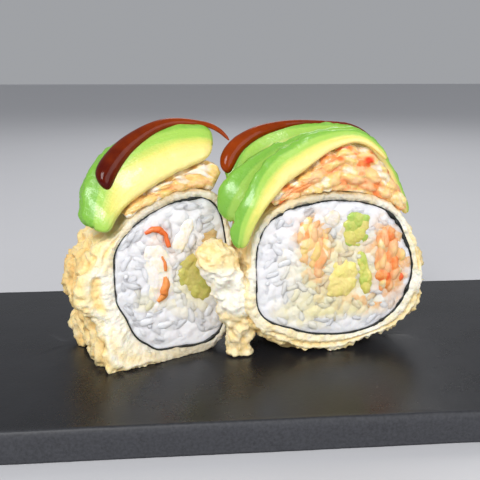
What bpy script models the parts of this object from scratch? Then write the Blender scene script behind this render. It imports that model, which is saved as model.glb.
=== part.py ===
"""Two cut pieces of a batter-fried sushi roll on their slate board.

From the outside in, a piece has avocado slices with a line of dark glaze, a heap of crab salad, a craggy coat
of fried batter, a sheet of seaweed, rice, and fillings that run through it.

The origin is under the middle of the board, +X runs along it, +Y to its back edge and +Z up. Sizes are in
metres. A roll is worked out in its own frame: u to the right along its cut face, s from that face to the
back, and v up, from the middle of the face. Angles round the roll are in degrees, from u towards v.
"""

import math
from dataclasses import dataclass

import bmesh
import bpy
import numpy as np

MM = 0.001
GAP = 0.3 * MM

BOARD_LENGTH = 200 * MM
BOARD_DEPTH = 89 * MM
BOARD_THICKNESS = 8 * MM
BOARD_CHAMFER = 1.0 * MM
BOARD_CHIPS = 0.5 * MM
BOARD_STEPS = (16, 8)  # outline points along the length and the depth

SEAWEED_THICKNESS = 0.6 * MM
LOOP_STEPS = 48
BATTER_CRAG = 1.1 * MM
COVERED_CRAG = 0.3 * MM
CRAG_SIZE = 4.5 * MM
BATTER_PROFILE = (  # share of the coat's thickness, share of the roll's length
    (0.0, 0.0), (0.55, -0.015), (1.0, 0.05), (1.0, 0.27), (1.0, 0.5),
    (1.0, 0.73), (1.0, 0.95), (0.55, 1.015), (0.0, 1.0),
)

SLICE_THICKNESS = 4.0 * MM
SLICE_STATIONS = 14
SLICE_CLEARANCE = 0.7 * MM  # from the heap, which bends more than the slices' straight spans

FILLING_GAP = GAP + 0.1 * MM  # round a filling, as its sides are straight spans
CUT_PAST = 3 * MM

GRAIN_LENGTH = 6.2 * MM
GRAIN_WIDTH = 2.7 * MM
GRAIN_SIDES = 5
GRAIN_STEP = 6.3 * MM
STRAND_WIDTH = 2.8 * MM
STRAND_SIDES = 4


@dataclass(frozen=True)
class Lobe:
    """A smooth rise round a roll: its height, where it peaks, and in how many degrees it falls to nothing."""

    height: float
    centre: float
    left: float
    right: float

    def at(self, degrees):
        away = (degrees - self.centre + 180) % 360 - 180
        return self.height * smooth(1 - abs(away) / np.where(away > 0, self.left, self.right))


@dataclass(frozen=True)
class Filling:
    """A filling that runs through a roll: its middle, half sizes and turn on the cut face, its strands."""

    name: str
    material: str
    middle: tuple
    half: tuple
    turn: float
    strands: int = 0


@dataclass(frozen=True)
class Slice:
    """An avocado slice: the angles of its ends, and its widths, given as angles and millimetres."""

    start: float
    end: float
    widths: tuple


@dataclass(frozen=True)
class Glaze:
    """A line of glaze: its slice's number, the angles of its ends, its half widths, and how far in from the
    slice's edge it lies, both given as angles and millimetres."""

    number: int
    start: float
    end: float
    halves: tuple
    insets: tuple


@dataclass(frozen=True)
class Roll:
    """The sizes of one piece of roll."""

    name: str
    place: tuple  # of the middle of its cut face, on the board
    turn: float
    length: float
    half_left: float  # the seaweed's half sizes
    half_right: float
    half_height: float
    squareness: float
    loop_tilt: float
    loop_lobes: tuple
    middle_height: float  # above the board
    batter: float
    batter_lobes: tuple
    back_lobes: tuple  # what the batter gains or loses towards the back
    foot: Lobe  # how far the batter reaches out in front
    heap_rise: tuple  # of the crab over the batter, as angles and millimetres
    heap_ends: tuple
    slices: tuple
    slice_lean: float  # from the roll's length
    slice_forward: float  # of the slices' starts
    glaze: Glaze
    fillings: tuple
    seed: int

    def seaweed(self, degrees):
        """Radius of the seaweed's outer side: a superellipse, turned a little, with low lobes."""
        angle = np.radians(degrees - self.loop_tilt)
        half = np.where(np.cos(angle) < 0, self.half_left, self.half_right)
        n = self.squareness
        oval = (abs(np.cos(angle) / half) ** n + abs(np.sin(angle) / self.half_height) ** n) ** (-1 / n)
        return oval + sum(lobe.at(degrees) for lobe in self.loop_lobes)

    def coat(self, degrees, share):
        """Thickness of the batter, before its crags, at a share of the roll's length."""
        front = self.batter + sum(lobe.at(degrees) for lobe in self.batter_lobes)
        return front + share * sum(lobe.at(degrees) for lobe in self.back_lobes)

    def covered(self, degrees):
        """1 where toppings lie on the batter, and 0 well away from them."""
        first = max(piece.start for piece in self.slices)
        last = min(min(piece.end for piece in self.slices), self.heap_ends[0])
        return smooth((first + 12 - degrees) / 10) * smooth((degrees - last + 12) / 10)

    def cover(self, degrees):
        """Radius on which the toppings lie, clear of the batter all along the roll."""
        thickest = np.maximum(self.coat(degrees, 0), self.coat(degrees, 1))
        return self.seaweed(degrees) + GAP + thickest + COVERED_CRAG + GAP

    def heap(self, degrees):
        """Radius of the crab heap's outside."""
        return self.cover(degrees) + between(degrees, self.heap_rise)


ROLLS = (
    Roll(
        name="left",
        place=(-23.3 * MM, -10.4 * MM),
        turn=19.5,
        length=24 * MM,
        half_left=15.75 * MM,
        half_right=15.2 * MM,
        half_height=20.0 * MM,
        squareness=2.8,
        loop_tilt=0,
        loop_lobes=(
            Lobe(-3.0 * MM, 123, 38, 36),
            Lobe(-1.4 * MM, 98, 30, 26),
            Lobe(1.2 * MM, 60, 20, 30),
            Lobe(-1.4 * MM, 221, 26, 22),
            Lobe(1.5 * MM, 258, 60, 14),
            Lobe(2.6 * MM, 303, 26, 36),
        ),
        middle_height=23.9 * MM,
        batter=2.0 * MM,
        batter_lobes=(
            Lobe(6.6 * MM, 187, 48, 50),
            Lobe(8.6 * MM, 230, 26, 24),
            Lobe(1.4 * MM, 275, 40, 50),
            Lobe(-0.8 * MM, 0, 50, 40),
        ),
        back_lobes=(Lobe(5.0 * MM, 218, 35, 40), Lobe(-1.0 * MM, 180, 30, 30)),
        foot=Lobe(4.4 * MM, 232, 64, 24),
        heap_rise=(
            (48, 0), (54, 3.4), (60, 5.6), (66, 6.4), (70, 6.2), (75, 5.1), (90, 3.1), (113, 1.3), (133, 0.9), (146, 0),
        ),
        heap_ends=(62, 126),
        slices=(
            Slice(145, 69, ((69, 9.8), (83, 13.8), (90, 15.0), (113, 15.2), (127, 12.8), (145, 8.6))),
            Slice(146, 67, ((67, 8.4), (83, 12.0), (90, 12.8), (113, 14.0), (127, 11.4), (146, 7.6))),
            Slice(146, 66, ((66, 8.4), (83, 11.2), (98, 11.6), (106, 12.7), (113, 12.7), (127, 10.1), (146, 6.6))),
            Slice(144, 70, ((70, 8.8), (83, 10.6), (98, 10.6), (106, 11.5), (113, 11.3), (127, 8.7), (144, 5.8))),
        ),
        slice_lean=55,
        slice_forward=2.6 * MM,
        glaze=Glaze(
            0,
            125.5,
            63,
            ((63, 0.65), (75, 0.75), (83, 1.0), (98, 2.0), (113, 3.1), (126, 3.6)),
            ((63, 4.0), (66, 1.7), (70, 0.3), (75, 0.1), (90, 1.2), (98, 1.8), (120, 4.9)),
        ),
        fillings=(
            Filling("crab_stick", "crab", (-4.0 * MM, -0.5 * MM), (3.6 * MM, 9.5 * MM), 4),
            Filling("crab_flake", "crab", (3.0 * MM, 9.8 * MM), (1.9 * MM, 5.0 * MM), -28),
            Filling("avocado_strip", "avocado", (6.8 * MM, -1.9 * MM), (5.4 * MM, 6.9 * MM), 4),
            Filling("crab_chunk", "crab", (10.2 * MM, 8.6 * MM), (2.4 * MM, 2.2 * MM), 0),
        ),
        seed=3,
    ),
    Roll(
        name="right",
        place=(20.2 * MM, -11.0 * MM),
        turn=8.5,
        length=24 * MM,
        half_left=22.3 * MM,
        half_right=22.3 * MM,
        half_height=18.8 * MM,
        squareness=2.3,
        loop_tilt=-6,
        loop_lobes=(Lobe(1.5 * MM, 145, 40, 35), Lobe(-1.4 * MM, 20, 30, 30), Lobe(1.8 * MM, 209, 25, 25)),
        middle_height=24.0 * MM,
        batter=2.0 * MM,
        batter_lobes=(
            Lobe(1.6 * MM, 350, 60, 50),
            Lobe(2.8 * MM, 325, 34, 34),
            Lobe(3.0 * MM, 255, 60, 50),
            Lobe(1.4 * MM, 232, 28, 30),
            Lobe(1.6 * MM, 205, 30, 24),
            Lobe(-0.5 * MM, 170, 30, 24),
        ),
        back_lobes=(),
        foot=Lobe(0.5 * MM, 270, 60, 60),
        heap_rise=(
            (34, 0), (46, 2.4), (52, 3.8), (60, 6.1), (76, 10.9), (82, 11.6), (88, 10.9), (108, 5.2), (126, 2.5),
            (144, 0.1),
        ),
        heap_ends=(40, 134),
        slices=(
            Slice(163, 66, ((66, 2.2), (80, 2.7), (90, 4.5), (102, 7.0), (108, 8.0), (120, 8.0), (163, 4.8))),
            Slice(154, 30, (
                (30, 2.6), (60, 3.1), (84, 3.8), (90, 4.5), (114, 8.8), (126, 9.8), (144, 11.7), (154, 10.2),
            )),
            Slice(142, 34, (
                (34, 3.6), (44, 4.4), (68, 4.6), (84, 4.0), (90, 5.0), (108, 11.7), (120, 14.4), (132, 14.2), (142, 10.2),
            )),
            Slice(136, 32, (
                (32, 4.8), (44, 5.8), (60, 6.0), (84, 3.6), (90, 4.4), (108, 11.5), (114, 12.5), (126, 12.6), (136, 9.8),
            )),
        ),
        slice_lean=66,
        slice_forward=4.4 * MM,
        glaze=Glaze(
            2,
            138,
            62,
            ((62, 0.5), (96, 0.5), (108, 1.2), (126, 2.1), (138, 3.0)),
            ((62, 0.1), (96, 0.2), (108, 0.9), (120, 1.4), (126, 1.4), (137, 0.6)),
        ),
        fillings=(
            Filling("crab_shreds", "crab", (14.8 * MM, 1.2 * MM), (4.2 * MM, 9.4 * MM), 6, 6),
            Filling("avocado_high", "avocado", (4.9 * MM, 11.2 * MM), (3.8 * MM, 5.0 * MM), 0),
            Filling("avocado_side", "avocado", (8.1 * MM, -1.8 * MM), (1.6 * MM, 6.4 * MM), 12),
            Filling("crab_chunk", "crab", (-1.9 * MM, 14.0 * MM), (2.1 * MM, 2.2 * MM), 0),
            Filling("avocado_low", "avocado", (1.6 * MM, -3.0 * MM), (4.0 * MM, 5.2 * MM), -10),
            Filling("crab_strips", "crab", (-6.6 * MM, 6.6 * MM), (4.2 * MM, 7.4 * MM), 8, 4),
        ),
        seed=8,
    ),
)

FLAP_PATH = (  # the batter flap at the right roll's near left corner: u, s, v and half width, from its top
    (-32.5 * MM, 4.2 * MM, 8.2 * MM, 2.6 * MM),
    (-32.6 * MM, 4.3 * MM, 6.0 * MM, 5.0 * MM),
    (-31.6 * MM, 4.3 * MM, 2.0 * MM, 5.7 * MM),
    (-28.8 * MM, 4.3 * MM, -3.0 * MM, 5.6 * MM),
    (-27.0 * MM, 4.3 * MM, -9.0 * MM, 4.8 * MM),
    (-26.3 * MM, 4.5 * MM, -16.0 * MM, 4.0 * MM),
    (-25.6 * MM, 4.7 * MM, -23.0 * MM, 3.4 * MM),
)
FLAP_DEPTH = 0.68  # of its half width
FLAP_SIDES = 9
FLAP_STATIONS = 9

COLOURS = {  # base colour, roughness
    "slate": ((0.012, 0.013, 0.016), 0.3),
    "batter": ((0.80, 0.60, 0.33), 0.6),
    "seaweed": ((0.012, 0.016, 0.012), 0.5),
    "rice": ((0.82, 0.82, 0.80), 0.4),
    "crab": ((0.85, 0.52, 0.38), 0.45),
    "avocado": ((0.42, 0.66, 0.16), 0.35),
}


def smooth(share):
    """Smoothstep of a value clipped to 0..1."""
    share = np.clip(share, 0, 1)
    return share * share * (3 - 2 * share)


def between(degrees, knots):
    """Values at angles, between knots of angle and millimetres: the mean of straight spans over a few degrees."""
    angle, value = np.array(knots, float).T
    return MM * sum(np.interp(degrees + shift, angle, value) for shift in (-6, -3, 0, 3, 6)) / 5


def lattice(cells, seed):
    """A number from 0 to 1 for each whole-number cell, from an integer hash."""
    mixed = cells[..., 0] * 73856093 ^ cells[..., 1] * 19349663 ^ cells[..., 2] * 83492791 ^ seed * 2654435
    mixed = (mixed ^ (mixed >> 13)) * 1274126177 & 0x7FFFFFFF
    return ((mixed ^ (mixed >> 11)) & 0xFFFF) / 0xFFFF


def noise(points, size, seed):
    """Value noise from -1 to 1 at points: lattice numbers blended smoothly between cell corners."""
    scaled = np.asarray(points) / size
    cells = np.floor(scaled).astype(np.int64)
    blend = smooth(scaled - cells)
    total = 0
    for corner in np.ndindex(2, 2, 2):
        weight = np.prod(np.where(corner, blend, 1 - blend), axis=-1)
        total = total + weight * lattice(cells + np.array(corner), seed)
    return 2 * total - 1


def material_of(name):
    """The material of that name, made at its first use."""
    made = bpy.data.materials.get(name)
    if made:
        return made
    colour, roughness = COLOURS[name]
    made = bpy.data.materials.new(name)
    made.use_nodes = True
    shader = made.node_tree.nodes["Principled BSDF"]
    shader.inputs["Base Color"].default_value = (*colour, 1)
    shader.inputs["Roughness"].default_value = roughness
    made.diffuse_color = (*colour, 1)
    return made


def object_of(name, points, faces, material, smooth_shaded=True):
    """A mesh object, its faces turned outwards."""
    mesh = bpy.data.meshes.new(name)
    mesh.from_pydata([tuple(point) for point in points], [], faces)
    work = bmesh.new()
    work.from_mesh(mesh)
    bmesh.ops.recalc_face_normals(work, faces=work.faces)
    bmesh.ops.triangulate(work, faces=work.faces)
    work.to_mesh(mesh)
    work.free()
    if smooth_shaded:
        mesh.shade_smooth()
        mesh.set_sharp_from_angle(angle=math.radians(50))
    mesh.materials.append(material_of(material))
    made = bpy.data.objects.new(name, mesh)
    bpy.context.scene.collection.objects.link(made)
    return made


def skin(name, rings, material, closed=False):
    """A solid through rings of points, with a fan over each end, or closed on itself like a tyre."""
    count, sides = rings.shape[:2]
    points = rings.reshape(-1, 3)
    faces = []
    for k in range(count if closed else count - 1):
        here, there = k * sides, (k + 1) % count * sides
        for j in range(sides):
            after = (j + 1) % sides
            faces.append((here + j, here + after, there + after, there + j))
    if not closed:
        for k, ring in ((0, rings[0]), (count - 1, rings[-1])):
            points = np.vstack([points, ring.mean(0)])
            start, tip = k * sides, len(points) - 1
            faces += [(start + j, start + (j + 1) % sides, tip) for j in range(sides)]
    return object_of(name, points, faces, material)


def around(degrees, radius, depth):
    """Points at angles, radii and depths of a roll."""
    angle = np.radians(degrees)
    return np.stack(np.broadcast_arrays(radius * np.cos(angle), depth, radius * np.sin(angle)), axis=-1)


def fuse(core, extras):
    """Joins the extras to the core by one union, and removes them."""
    if not extras:
        return core
    group = bpy.data.collections.new("joined")
    bpy.context.scene.collection.children.link(group)
    for extra in extras:
        group.objects.link(extra)
    combine(core, group, "UNION")
    for extra in extras:
        bpy.data.objects.remove(extra)
    bpy.data.collections.remove(group)
    return core


def combine(core, group, operation):
    """Applies a Boolean with a collection to the core's mesh."""
    modifier = core.modifiers.new(operation.title(), "BOOLEAN")
    modifier.operation = operation
    modifier.operand_type = "COLLECTION"
    modifier.collection = group
    modifier.solver = "EXACT"
    graph = bpy.context.evaluated_depsgraph_get()
    result = bpy.data.meshes.new_from_object(core.evaluated_get(graph))
    core.modifiers.clear()
    core.data = result


def tube(name, path, radii, sides, material, flat=1.0, across=(0, 1, 0)):
    """A round-ended tube along path, flattened to a share of its width on the side that faces across."""
    path = np.asarray(path, float)
    along = np.gradient(path, axis=0)
    along /= np.linalg.norm(along, axis=1)[:, None]
    side = np.cross(along, across)
    side /= np.linalg.norm(side, axis=1)[:, None]
    up = np.cross(along, side)
    turn = np.arange(sides) * 2 * math.pi / sides
    reach = np.asarray(radii)[:, None, None]
    rings = path[:, None] + reach * (
        np.cos(turn)[None, :, None] * side[:, None] + flat * np.sin(turn)[None, :, None] * up[:, None]
    )
    return skin(name, rings, material)


def grain(middle, heading, tilt):
    """A rice grain of few sides, lying near the plane of the cut face."""
    way = np.array([math.cos(heading) * math.cos(tilt), math.sin(tilt), math.sin(heading) * math.cos(tilt)])
    shares = np.array([-0.5, 0, 0.5])
    path = np.array(middle) + shares[:, None] * GRAIN_LENGTH * way
    radii = GRAIN_WIDTH / 2 * np.array([0.45, 1.05, 0.45])
    return tube("grain", path, radii, GRAIN_SIDES, "rice", 0.8)


def strand(middle, heading, tilt, length, bend):
    """A crab strand of few sides, bent in the plane of the cut face."""
    way = np.array([math.cos(heading) * math.cos(tilt), math.sin(tilt), math.sin(heading) * math.cos(tilt)])
    off = np.array([-math.sin(heading), 0, math.cos(heading)])
    shares = np.array([-0.5, 0, 0.5])
    path = np.array(middle) + shares[:, None] * length * way + bend * (0.25 - shares**2)[:, None] * off
    radii = STRAND_WIDTH / 2 * np.array([0.6, 1.0, 0.6])
    return tube("strand", path, radii, STRAND_SIDES, "crab", 0.75)


def board():
    """The slate: a slab whose cut edges are chipped a little all round."""
    steps_x, steps_y = BOARD_STEPS
    half_x, half_y = BOARD_LENGTH / 2, BOARD_DEPTH / 2
    along = np.linspace(-1, 1, steps_x, endpoint=False)
    up = np.linspace(-1, 1, steps_y, endpoint=False)
    outline = np.concatenate([
        np.stack([along * half_x, np.full(steps_x, -half_y)], -1),
        np.stack([np.full(steps_y, half_x), up * half_y], -1),
        np.stack([-along * half_x, np.full(steps_x, half_y)], -1),
        np.stack([np.full(steps_y, -half_x), -up * half_y], -1),
    ])
    outward = outline / np.array([half_x, half_y])
    outward = np.where(abs(outward) > 0.999, np.sign(outward), 0)
    rings = []
    for height, inset, chips in (
        (0, 0, 0),
        (BOARD_THICKNESS * 0.45, 0, BOARD_CHIPS),
        (BOARD_THICKNESS - BOARD_CHAMFER, 0.2 * BOARD_CHAMFER, BOARD_CHIPS),
        (BOARD_THICKNESS, BOARD_CHAMFER, 0.6 * BOARD_CHIPS),
    ):
        level = np.column_stack([outline, np.full(len(outline), height)])
        chipped = (noise(level, 7 * MM, 5) + 1) / 2 * chips
        level[:, :2] -= (inset + chipped)[:, None] * outward
        rings.append(level)
    return skin("board", np.array(rings), "slate")


def seaweed(roll):
    """The sheet of seaweed round the rice."""
    degrees = np.arange(LOOP_STEPS) * 360 / LOOP_STEPS
    outer = roll.seaweed(degrees)
    inner = outer - SEAWEED_THICKNESS
    rings = np.array([
        around(degrees, outer, 0),
        around(degrees, outer, roll.length),
        around(degrees, inner, roll.length),
        around(degrees, inner, 0),
    ])
    return skin(f"{roll.name}_seaweed", rings, "seaweed", closed=True)


def batter(roll):
    """The coat of batter: its thickness round the roll, with crags, flattened where it stands."""
    degrees = np.arange(LOOP_STEPS) * 360 / LOOP_STEPS
    inner = roll.seaweed(degrees) + GAP
    crag = COVERED_CRAG + (BATTER_CRAG - COVERED_CRAG) * (1 - roll.covered(degrees))
    rings = []
    for thick, along in BATTER_PROFILE:
        share = min(max(along, 0), 1)
        depth = along * roll.length - thick * roll.foot.at(degrees) * (1 - share) ** 2
        ring = around(degrees, inner + thick * roll.coat(degrees, share), depth)
        rough = noise(ring, CRAG_SIZE, roll.seed) * crag * (thick > 0.8)
        ring = ring + around(degrees, rough, 0)
        ring[:, 2] = np.maximum(ring[:, 2], GAP - roll.middle_height)
        rings.append(ring)
    coat = skin(f"{roll.name}_batter", np.array(rings), "batter", closed=True)
    return fuse(coat, [flap(roll)]) if roll.name == "right" else coat


def flap(roll):
    """The loose flap of batter, a craggy tube that stands on the board."""
    knots = np.array(FLAP_PATH)
    places = np.linspace(0, len(knots) - 1, FLAP_STATIONS)
    line = np.stack([np.interp(places, range(len(knots)), knots[:, k]) for k in range(4)], -1)
    turn = np.arange(FLAP_SIDES) * 2 * math.pi / FLAP_SIDES
    reach = line[:, 3, None]
    rings = np.stack([
        line[:, None, 0] + reach * np.cos(turn),
        line[:, None, 1] + FLAP_DEPTH * reach * np.sin(turn),
        np.broadcast_to(line[:, None, 2], (FLAP_STATIONS, FLAP_SIDES)),
    ], -1)
    rough = noise(rings, CRAG_SIZE, roll.seed) * BATTER_CRAG * 0.6
    rings[..., 0] += rough * np.cos(turn)
    rings[..., 1] += rough * np.sin(turn)
    rings[..., 2] = np.maximum(rings[..., 2], GAP - roll.middle_height)
    return skin("flap", rings, "batter")


def outline_of(filling, grown, steps=14):
    """Outline of a filling on the cut face, a wavy superellipse, larger all round by grown."""
    turn = np.arange(steps) * 2 * math.pi / steps
    wave = 1 + 0.05 * np.sin(3 * turn + filling.middle[0] / MM)
    reach = (abs(np.cos(turn)) ** 2.4 + abs(np.sin(turn)) ** 2.4) ** (-1 / 2.4) * wave
    u = reach * np.cos(turn) * (filling.half[0] + grown)
    v = reach * np.sin(turn) * (filling.half[1] + grown)
    angle = math.radians(filling.turn)
    return np.stack([
        filling.middle[0] + u * math.cos(angle) - v * math.sin(angle),
        filling.middle[1] + u * math.sin(angle) + v * math.cos(angle),
    ], -1)


def prism(name, outline, levels, material):
    """A solid with the same outline at each depth in levels, each given with its scale about the middle."""
    middle = outline.mean(0)
    rings = []
    for depth, scale in levels:
        flat = middle + (outline - middle) * scale
        rings.append(np.stack([flat[:, 0], np.full(len(flat), depth), flat[:, 1]], -1))
    return skin(name, np.array(rings), material)


def filling_of(roll, filling, draw):
    """A filling from cut face to cut face, with strands on both faces where it is a heap of shreds."""
    edge = 0.6 * MM
    levels = ((-0.2 * MM, 0.9), (edge, 1.0), (roll.length - edge, 1.0), (roll.length + 0.2 * MM, 0.9))
    body = prism(f"{roll.name}_{filling.name}", outline_of(filling, 0), levels, filling.material)
    strands = []
    for face in (0.1 * MM, roll.length - 0.1 * MM):
        for k in range(filling.strands):
            share = (k + 0.5) / filling.strands * 2 - 1
            high = share * (filling.half[1] - 1.9 * MM)
            reach = filling.half[0] - 1.4 * MM
            wide = reach * math.sqrt(max(0.1, 1 - share**2))
            side = draw.uniform(-0.35, 0.35) * wide
            angle = math.radians(filling.turn)
            middle = (
                filling.middle[0] + side * math.cos(angle) - high * math.sin(angle),
                face,
                filling.middle[1] + side * math.sin(angle) + high * math.cos(angle),
            )
            length = 2 * (wide - abs(side)) + 0.8 * MM
            strands.append(strand(middle, draw.uniform(-0.5, 0.5), 0, length, draw.uniform(-1, 1) * MM))
    return fuse(body, strands)


def inside(point, outline):
    """Whether a point of the cut face is inside an outline, by the even-odd rule."""
    a, b = outline, np.roll(outline, -1, axis=0)
    spans = (a[:, 1] > point[1]) != (b[:, 1] > point[1])
    cross = a[:, 0] + (point[1] - a[:, 1]) / np.where(spans, b[:, 1] - a[:, 1], 1) * (b[:, 0] - a[:, 0])
    return bool(np.count_nonzero(spans & (point[0] < cross)) % 2)


def grain_places(roll, draw):
    """Middles and headings of a cut face's grains: a jittered grid, clear of the fillings and the seaweed."""
    places = []
    walls = [outline_of(filling, GRAIN_WIDTH / 2 + GAP) for filling in roll.fillings]
    for row in range(-4, 5):
        for column in range(-5, 6):
            middle = np.array([(column + row % 2 / 2), row]) * GRAIN_STEP + draw.uniform(-0.6, 0.6, 2) * MM
            heading = draw.uniform(0, math.pi)
            for turned in (0, math.pi / 2, math.pi / 4):
                way = np.array([math.cos(heading + turned), math.sin(heading + turned)]) * GRAIN_LENGTH / 2
                ends = (middle - way, middle, middle + way)
                angles = [math.degrees(math.atan2(end[1], end[0])) for end in ends]
                rooms = [float(roll.seaweed(angle)) - np.hypot(*end) for angle, end in zip(angles, ends)]
                free = not any(inside(end, wall) for wall in walls for end in ends)
                if free and min(rooms) > SEAWEED_THICKNESS + GRAIN_WIDTH / 2 + GAP:
                    places.append((middle, heading + turned))
                    break
    return places


def rice(roll, draw):
    """The rice: a plug inside the seaweed, cut for the fillings, with grains standing out of both faces."""
    degrees = np.arange(LOOP_STEPS) * 360 / LOOP_STEPS
    edge = roll.seaweed(degrees) - SEAWEED_THICKNESS - GAP
    rings = np.array([around(degrees, edge, depth) for depth in (0, roll.length)])
    body = skin(f"{roll.name}_rice", rings, "rice")
    group = bpy.data.collections.new("cutters")
    bpy.context.scene.collection.children.link(group)
    levels = ((-CUT_PAST, 1.0), (roll.length + CUT_PAST, 1.0))
    outlines = [outline_of(filling, FILLING_GAP) for filling in roll.fillings]
    cutters = [prism("cutter", outline, levels, "rice") for outline in outlines]
    for cutter in cutters:
        group.objects.link(cutter)
    combine(body, group, "DIFFERENCE")
    for cutter in cutters:
        bpy.data.objects.remove(cutter)
    bpy.data.collections.remove(group)
    grains = []
    for depth in (0.1 * MM, roll.length - 0.1 * MM):
        for middle, heading in grain_places(roll, draw):
            grains.append(grain((middle[0], depth, middle[1]), heading, draw.uniform(-0.2, 0.2)))
    return fuse(body, grains)


def crab(roll, draw):
    """The heap of crab salad under the avocado: a lens over the batter, with strands on both faces."""
    last, first = roll.heap_ends
    degrees = np.linspace(last, first, 17)
    low = roll.cover(degrees)
    high = roll.heap(degrees)
    rings = []
    for share, along in (
        (0, 0.06), (0.3, 0.01), (0.7, 0.01), (0.94, 0.05), (1, 0.12), (1, 0.88),
        (0.94, 0.95), (0.7, 0.99), (0.3, 0.99), (0, 0.94),
    ):
        rings.append(around(degrees, low + share * (high - low), along * roll.length))
    heap = skin(f"{roll.name}_crab", np.array(rings).transpose(1, 0, 2), "crab")
    strands = []
    for depth in (0.4 * MM, roll.length - 0.4 * MM):
        for middle in np.arange(last + 8, first - 8, 12.5):
            low, high = float(roll.cover(middle)), float(roll.heap(middle))
            rows = int((high - low) / (3.6 * MM))
            for row in range(rows):
                radius = low + (row + 0.5) * (high - low) / (rows + 0.6)
                place = around(middle + draw.uniform(-3, 3), radius, depth)
                heading = math.radians(middle + 90 + draw.uniform(-12, 12))
                strands.append(strand(place, heading, 0, 6.0 * MM, draw.uniform(-1, 0.4) * MM))
    return fuse(heap, strands)


def slice_frame(roll, number, degrees):
    """Root radii, root depths, widths and thicknesses of a slice at angles."""
    width = between(degrees, roll.slices[number].widths)
    thick = np.minimum(SLICE_THICKNESS, 0.3 * width + 0.6 * MM)
    pitch = (SLICE_THICKNESS + 1.5 * GAP) / math.sin(math.radians(roll.slice_lean))
    depth = 1.2 * MM + number * pitch - roll.slice_forward * smooth((degrees - 115) / 30)
    radius = roll.heap(degrees) + SLICE_CLEARANCE + thick / 2
    return radius, depth, width, thick


def leaned(roll, degrees, radius, depth, reach, off):
    """Points at a reach along the slices' lean and an offset square to it, from a root."""
    lean = math.radians(roll.slice_lean)
    radius = radius + reach * math.sin(lean) + off * math.cos(lean)
    return around(degrees, radius, depth + reach * math.cos(lean) - off * math.sin(lean))


def avocado(roll, number):
    """A slice of avocado: a bar bent over the roll, leaning back on the one behind it."""
    piece = roll.slices[number]
    degrees = np.linspace(piece.start, piece.end, SLICE_STATIONS)
    radius, depth, width, thick = slice_frame(roll, number, degrees)
    rings = []
    for corner in np.arange(22.5, 360, 45):
        turn = math.radians(corner)
        reach = (width - thick) * (math.cos(turn) > 0) + thick / 2 * math.cos(turn)
        rings.append(leaned(roll, degrees, radius, depth, reach, thick / 2 * math.sin(turn)))
    return skin(f"{roll.name}_avocado_{number + 1}", np.array(rings).transpose(1, 0, 2), "avocado")


def glaze(roll):
    """The thick line of dark glaze on the rounded near edge of one slice, fat at its start."""
    line = roll.glaze
    share = np.array([0, 0.03, 0.12, 0.25, 0.4, 0.55, 0.7, 0.85, 0.97, 1])
    round_ends = np.array([0.45, 0.8, 1, 1, 1, 1, 1, 1, 0.8, 0.45])
    degrees = line.start + (line.end - line.start) * share
    radius, depth, width, thick = slice_frame(roll, line.number, degrees)
    half = between(degrees, line.halves) * round_ends
    inset = between(degrees, line.insets)
    bend = np.clip(1 - 2 * inset / thick, 0, 1)
    middle = thick / 2 * np.sqrt(1 - bend**2) - 0.2 * half
    rings = []
    for turn in np.arange(8) * math.pi / 4:
        reach = width - thick / 2 - inset + half * math.cos(turn)
        rings.append(leaned(roll, degrees, radius, depth, reach, middle + 0.8 * half * math.sin(turn)))
    return skin("glaze", np.array(rings).transpose(1, 0, 2), "avocado")


def clear_scene():
    """Removes every object that the scene starts with."""
    for old in list(bpy.data.objects):
        bpy.data.objects.remove(old)


def build_roll(roll):
    """All the pieces of one roll, hung on an empty at its place on the board."""
    draw = np.random.default_rng(roll.seed)
    pieces = [seaweed(roll), batter(roll), rice(roll, draw), crab(roll, draw)]
    pieces += [filling_of(roll, filling, draw) for filling in roll.fillings]
    for number in range(len(roll.slices)):
        extras = [glaze(roll)] if number == roll.glaze.number else []
        pieces.append(fuse(avocado(roll, number), extras))
    hub = bpy.data.objects.new(f"{roll.name}_roll", None)
    hub.location = (*roll.place, BOARD_THICKNESS + roll.middle_height)
    hub.rotation_euler = (0, 0, math.radians(roll.turn))
    bpy.context.scene.collection.objects.link(hub)
    for made in pieces:
        made.parent = hub


def main():
    clear_scene()
    board()
    for roll in ROLLS:
        build_roll(roll)


main()
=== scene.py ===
"""The looks of two cut pieces of a batter-fried sushi roll on their slate board.

Each piece of roll is worked out with numpy in its own frame: u to the right along its cut face, s from
that face to the back and v up, from the middle of the face. Angles round it are in degrees, from u towards
v. Its sizes are those of the solids that the pieces here stand for. Sizes are in metres unless a docstring
says otherwise.
"""

import logging
import math
from dataclasses import dataclass, field
from enum import Enum
from typing import Any

import bpy
import numpy as np
from mathutils import Matrix, Vector


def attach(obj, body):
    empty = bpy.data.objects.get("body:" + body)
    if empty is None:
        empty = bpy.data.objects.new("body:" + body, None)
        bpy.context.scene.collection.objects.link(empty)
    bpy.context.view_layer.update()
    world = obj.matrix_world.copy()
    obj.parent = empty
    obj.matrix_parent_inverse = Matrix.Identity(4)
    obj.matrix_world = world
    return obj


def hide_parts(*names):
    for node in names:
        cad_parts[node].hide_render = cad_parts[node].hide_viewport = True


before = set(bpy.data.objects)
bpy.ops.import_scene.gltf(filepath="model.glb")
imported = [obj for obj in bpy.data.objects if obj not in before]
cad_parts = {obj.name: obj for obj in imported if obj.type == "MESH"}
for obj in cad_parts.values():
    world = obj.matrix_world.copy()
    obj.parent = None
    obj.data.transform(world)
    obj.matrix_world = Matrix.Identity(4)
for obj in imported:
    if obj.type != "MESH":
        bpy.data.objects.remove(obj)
log = logging.getLogger("sushi")

MM = 0.001
GAP = 0.3 * MM  # between neighbouring solids
BODY = "root"

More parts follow.
